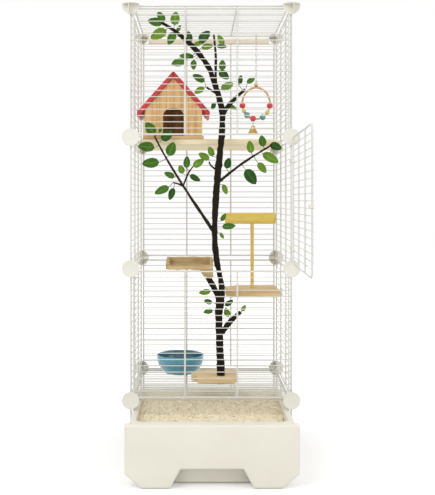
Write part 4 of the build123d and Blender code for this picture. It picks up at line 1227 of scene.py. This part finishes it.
def hoopMesh():
    work = bmesh.new()
    ring = [hoopSpot(360 * step / 72)[0] for step in range(72)]
    sweepTube(work, ring, hoop["thick"] / 2 * 0.86, 16, closed=True)
    for strand in range(3):  # thin canes laid round the core
        points = []
        for step in range(288):
            angle = 360 * step / 288
            spot, way = hoopSpot(angle)
            sideways = Vector((0, 1, 0))
            turn = radians(angle * hoop["turns"] + 120 * strand)
            outward = way.cross(sideways) * cos(turn) + sideways * sin(turn)
            points.append(spot + outward * hoop["thick"] * 0.38)
        sweepTube(work, points, hoop["strand"], 6, closed=True)
    profile = [(0, 0), (0.0048, 0), (0.006, 0.0014), (0.006, 0.0075), (0.0048, 0.0108)]
    profile += [(0.0026, 0.012), (0, 0.012)]
    for made in lathe(work, smoothProfile(profile, 3), 24, Matrix.Translation((swing["x"], swingY, hoopTop))):
        made.material_index = 2
    lowSpot = hoopSpot(hangerAngle)[0]
    hangerTop = lowSpot.z - beads["red"]["size"] / 2 - 0.0002
    for x, top in ((swing["x"], hoopHigh[2]), (lowSpot.x, hangerTop)):
        for made in addEye(work, x, top, Vector((1, 0, 0))):
            made.material_index = 1
    return meshFrom("swing_cane_hoop", work)


addPiece("swing_cane_hoop", hoopMesh(), "hoop", ["rattan", "chain", "brass"], ["swing_hoop"], 50)


def beadMesh(colour):
    work = bmesh.new()
    for angle in beads[colour]["angles"]:
        spot, way = hoopSpot(angle)
        radius, bore = beads[colour]["size"] / 2, hoop["thick"] / 2 + hoop["beadPlay"]
        lowest = asin(bore / radius)
        rows = [lowest + (pi - 2 * lowest) * step / 16 for step in range(17)]
        profile = [(radius * sin(row), -radius * 0.94 * cos(row)) for row in rows]
        place = Matrix.Translation(spot) @ way.to_track_quat("Z", "Y").to_matrix().to_4x4()
        lathe(work, profile + [(bore, 0)] + profile[:1], 32, place)
    return meshFrom(colour + "_turned_beads", work)


for colour in beads:
    name = colour + "_turned_beads"
    addPiece(name, beadMesh(colour), "hoop", [colour], [colour + "_beads"], 50)

bellLow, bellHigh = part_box("swing_bell")
bellX = (bellLow[0] + bellHigh[0]) / 2
bell = {"wall": 0.0014, "crown": 0.0010, "mouth": 0.017, "lip": 0.0012}


def bellMesh():
    work = bmesh.new()
    top = bellHigh[2] - swing["eye"]
    outer = [(0, 0), (0.0045, 0), (0.0062, -0.0012), (0.0078, -0.006), (0.0105, -0.0135)]
    outer += [(0.0142, -0.0205), (0.0178, -0.0255), (0.018, -0.026)]
    outer = [tuple(p) for p in smoothProfile(outer, 4)]
    inner = []
    for r, z in reversed(outer):
        inner.append((max(r - bell["wall"], 0), z if r > bell["mouth"] else z - bell["crown"]))
    inner[0] = (outer[-1][0] - bell["lip"], outer[-1][1])
    lathe(work, outer + inner, 40, Matrix.Translation((bellX, swingY, top)))
    addEye(work, bellX, bellHigh[2], Vector((0, 1, 0)))
    return meshFrom("swing_turned_bell", work)


addPiece("swing_turned_bell", bellMesh(), "bell", ["brass"], ["swing_bell"], 50)
clapLow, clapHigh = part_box("bell_clapper")


def clapperMesh():
    work = bmesh.new()
    x, y = (clapLow[0] + clapHigh[0]) / 2, (clapLow[1] + clapHigh[1]) / 2
    ball = (clapHigh[0] - clapLow[0]) / 2
    centre = clapLow[2] + ball * 0.68
    sweepTube(work, [Vector((x, y, clapHigh[2])), Vector((x, y, centre))], 0.0011, 10)
    rows = [pi * step / 12 for step in range(13)]
    profile = [(ball * sin(row), -ball * 0.66 * cos(row)) for row in rows]
    lathe(work, profile, 20, Matrix.Translation((x, y, centre)))
    return meshFrom("bell_turned_clapper", work)


addPiece("bell_turned_clapper", clapperMesh(), "clapper", ["brass"], ["bell_clapper"], 50)
print("swing made")

# bowl: thrown shape with a foot ring and a rolled rim
bowlLow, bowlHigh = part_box("bowl")
bowl = {
    "rim": (bowlHigh[0] - bowlLow[0]) / 2,
    "high": bowlHigh[2] - bowlLow[2],
    "wall": 0.005,
    "band": 0.0004,
    "bandPitch": 0.0075,
    "sides": 72,
}


def bowlMesh():
    work = bmesh.new()
    rim, high, wall, sides = (bowl[key] for key in ("rim", "high", "wall", "sides"))
    flank = [(0.048, 0), (0.0492, 0.0006), (0.0505, 0.003), (0.058, 0.0105), (0.0668, 0.0235), (0.072, 0.038)]
    outer = []
    for r, z in smoothProfile(flank + [(rim - 0.0004, high - 0.004)], 10):
        outer.append((r + bowl["band"] * sin(z / bowl["bandPitch"] * 2 * pi), z))
    outer += [(rim, high - 0.0025), (rim - 0.0006, high - 0.0006), (rim - 0.002, high)]
    inner = [(rim - 0.0038, high - 0.0004), (rim - wall, high - 0.003), (0.0665, 0.036), (0.0612, 0.0245)]
    inner += [(0.0535, 0.0125), (0.044, 0.0068), (0.02, 0.0056), (0, 0.0055)]
    inner = [tuple(p) for p in smoothProfile(inner, 5)]
    place = Matrix.Translation(((bowlLow[0] + bowlHigh[0]) / 2, (bowlLow[1] + bowlHigh[1]) / 2, bowlLow[2]))
    under = [(0, 0.0012), (0.046, 0.0012), (0.0465, 0)]
    faces = lathe(work, under + outer + inner, sides, place)
    for made in faces[sides * (len(under) + len(outer) - 1):]:
        made.material_index = 1
    return meshFrom("glazed_bowl", work)


addPiece("glazed_bowl", bowlMesh(), "bowl", ["glaze", "glazeInside"], ["bowl"], 40)
print("bowl thrown")

# floor, world and lights
studio = {
    "floorSize": 14.0,
    "floorColor": (0.86, 0.86, 0.86, 1),
    "glowMin": 0.24,
    "glowMax": 0.62,
    "glowFrom": 0.5,
    "glowTo": 3.2,
    "world": 0.7,
}


def directRays(tree):
    # one for what the camera sees, straight or in a gloss
    path = addNode(tree, "ShaderNodeLightPath")
    return path, addMath(tree, "MAXIMUM", path.outputs["Is Camera Ray"], path.outputs["Is Glossy Ray"])


def makeFloor():
    mesh = bpy.data.meshes.new("studio_floor")
    half = studio["floorSize"] / 2
    corners = [(-half, -half, 0), (half, -half, 0), (half, half, 0), (-half, half, 0)]
    mesh.from_pydata(corners, [], [(0, 1, 2, 3)])
    floor = intoScene(bpy.data.objects.new("studio_floor", mesh))
    material, tree, shader = startMaterial("studio floor", 0.9, shine=0.1)
    feed(tree, shader, Base_Color=studio["floorColor"])
    seen = directRays(tree)[1]
    spot = addNode(tree, "ShaderNodeTexCoord").outputs["Object"]
    away = addMath(tree, "LENGTH", spot, kind="ShaderNodeVectorMath", output="Value")
    fade = addNode(tree, "ShaderNodeMapRange", in_Value=away)
    feed(tree, fade, From_Min=studio["glowFrom"], From_Max=studio["glowTo"])
    feed(tree, fade, To_Min=studio["glowMin"], To_Max=studio["glowMax"])
    glow = addNode(tree, "ShaderNodeEmission")
    feed(tree, glow, Strength=addMath(tree, "MULTIPLY", seen, fade.outputs["Result"]))
    both = addNode(tree, "ShaderNodeAddShader")
    fill(tree, both.inputs[0], shader.outputs[0])
    fill(tree, both.inputs[1], glow.outputs[0])
    feed(tree, tree.nodes["Material Output"], Surface=both.outputs[0])
    mesh.materials.append(material)


makeFloor()
world = bpy.data.worlds.new("studio")
bpy.context.scene.world = world
world.use_nodes = True
worldTree = world.node_tree
sky = worldTree.nodes["Background"]
worldPath, direct = directRays(worldTree)
direct = addMath(worldTree, "MAXIMUM", direct, worldPath.outputs["Is Transmission Ray"])
strength = addNode(worldTree, "ShaderNodeMapRange", in_Value=direct, in_To_Min=studio["world"], in_To_Max=1.0)
feed(worldTree, sky, Color=(1, 1, 1, 1), Strength=strength.outputs["Result"])

# area lamps: name, place, size, power
for name, place, size, power in (
    ("key", (-1.6, middleY - 2.0, 2.6), 1.6, 34),
    ("fill", (1.9, middleY - 1.6, 1.5), 1.8, 14),
    ("top", (0.2, middleY + 0.6, 3.0), 1.8, 16),
):
    lampData = bpy.data.lights.new(name, "AREA")
    lampData.energy = power
    lampData.size = size
    lamp = bpy.data.objects.new(name, lampData)
    lamp.location = place
    aim = Vector((0, middleY, 0.6)) - Vector(place)
    lamp.rotation_euler = aim.to_track_quat("-Z", "Y").to_euler()
    intoScene(lamp)
print("studio lit")
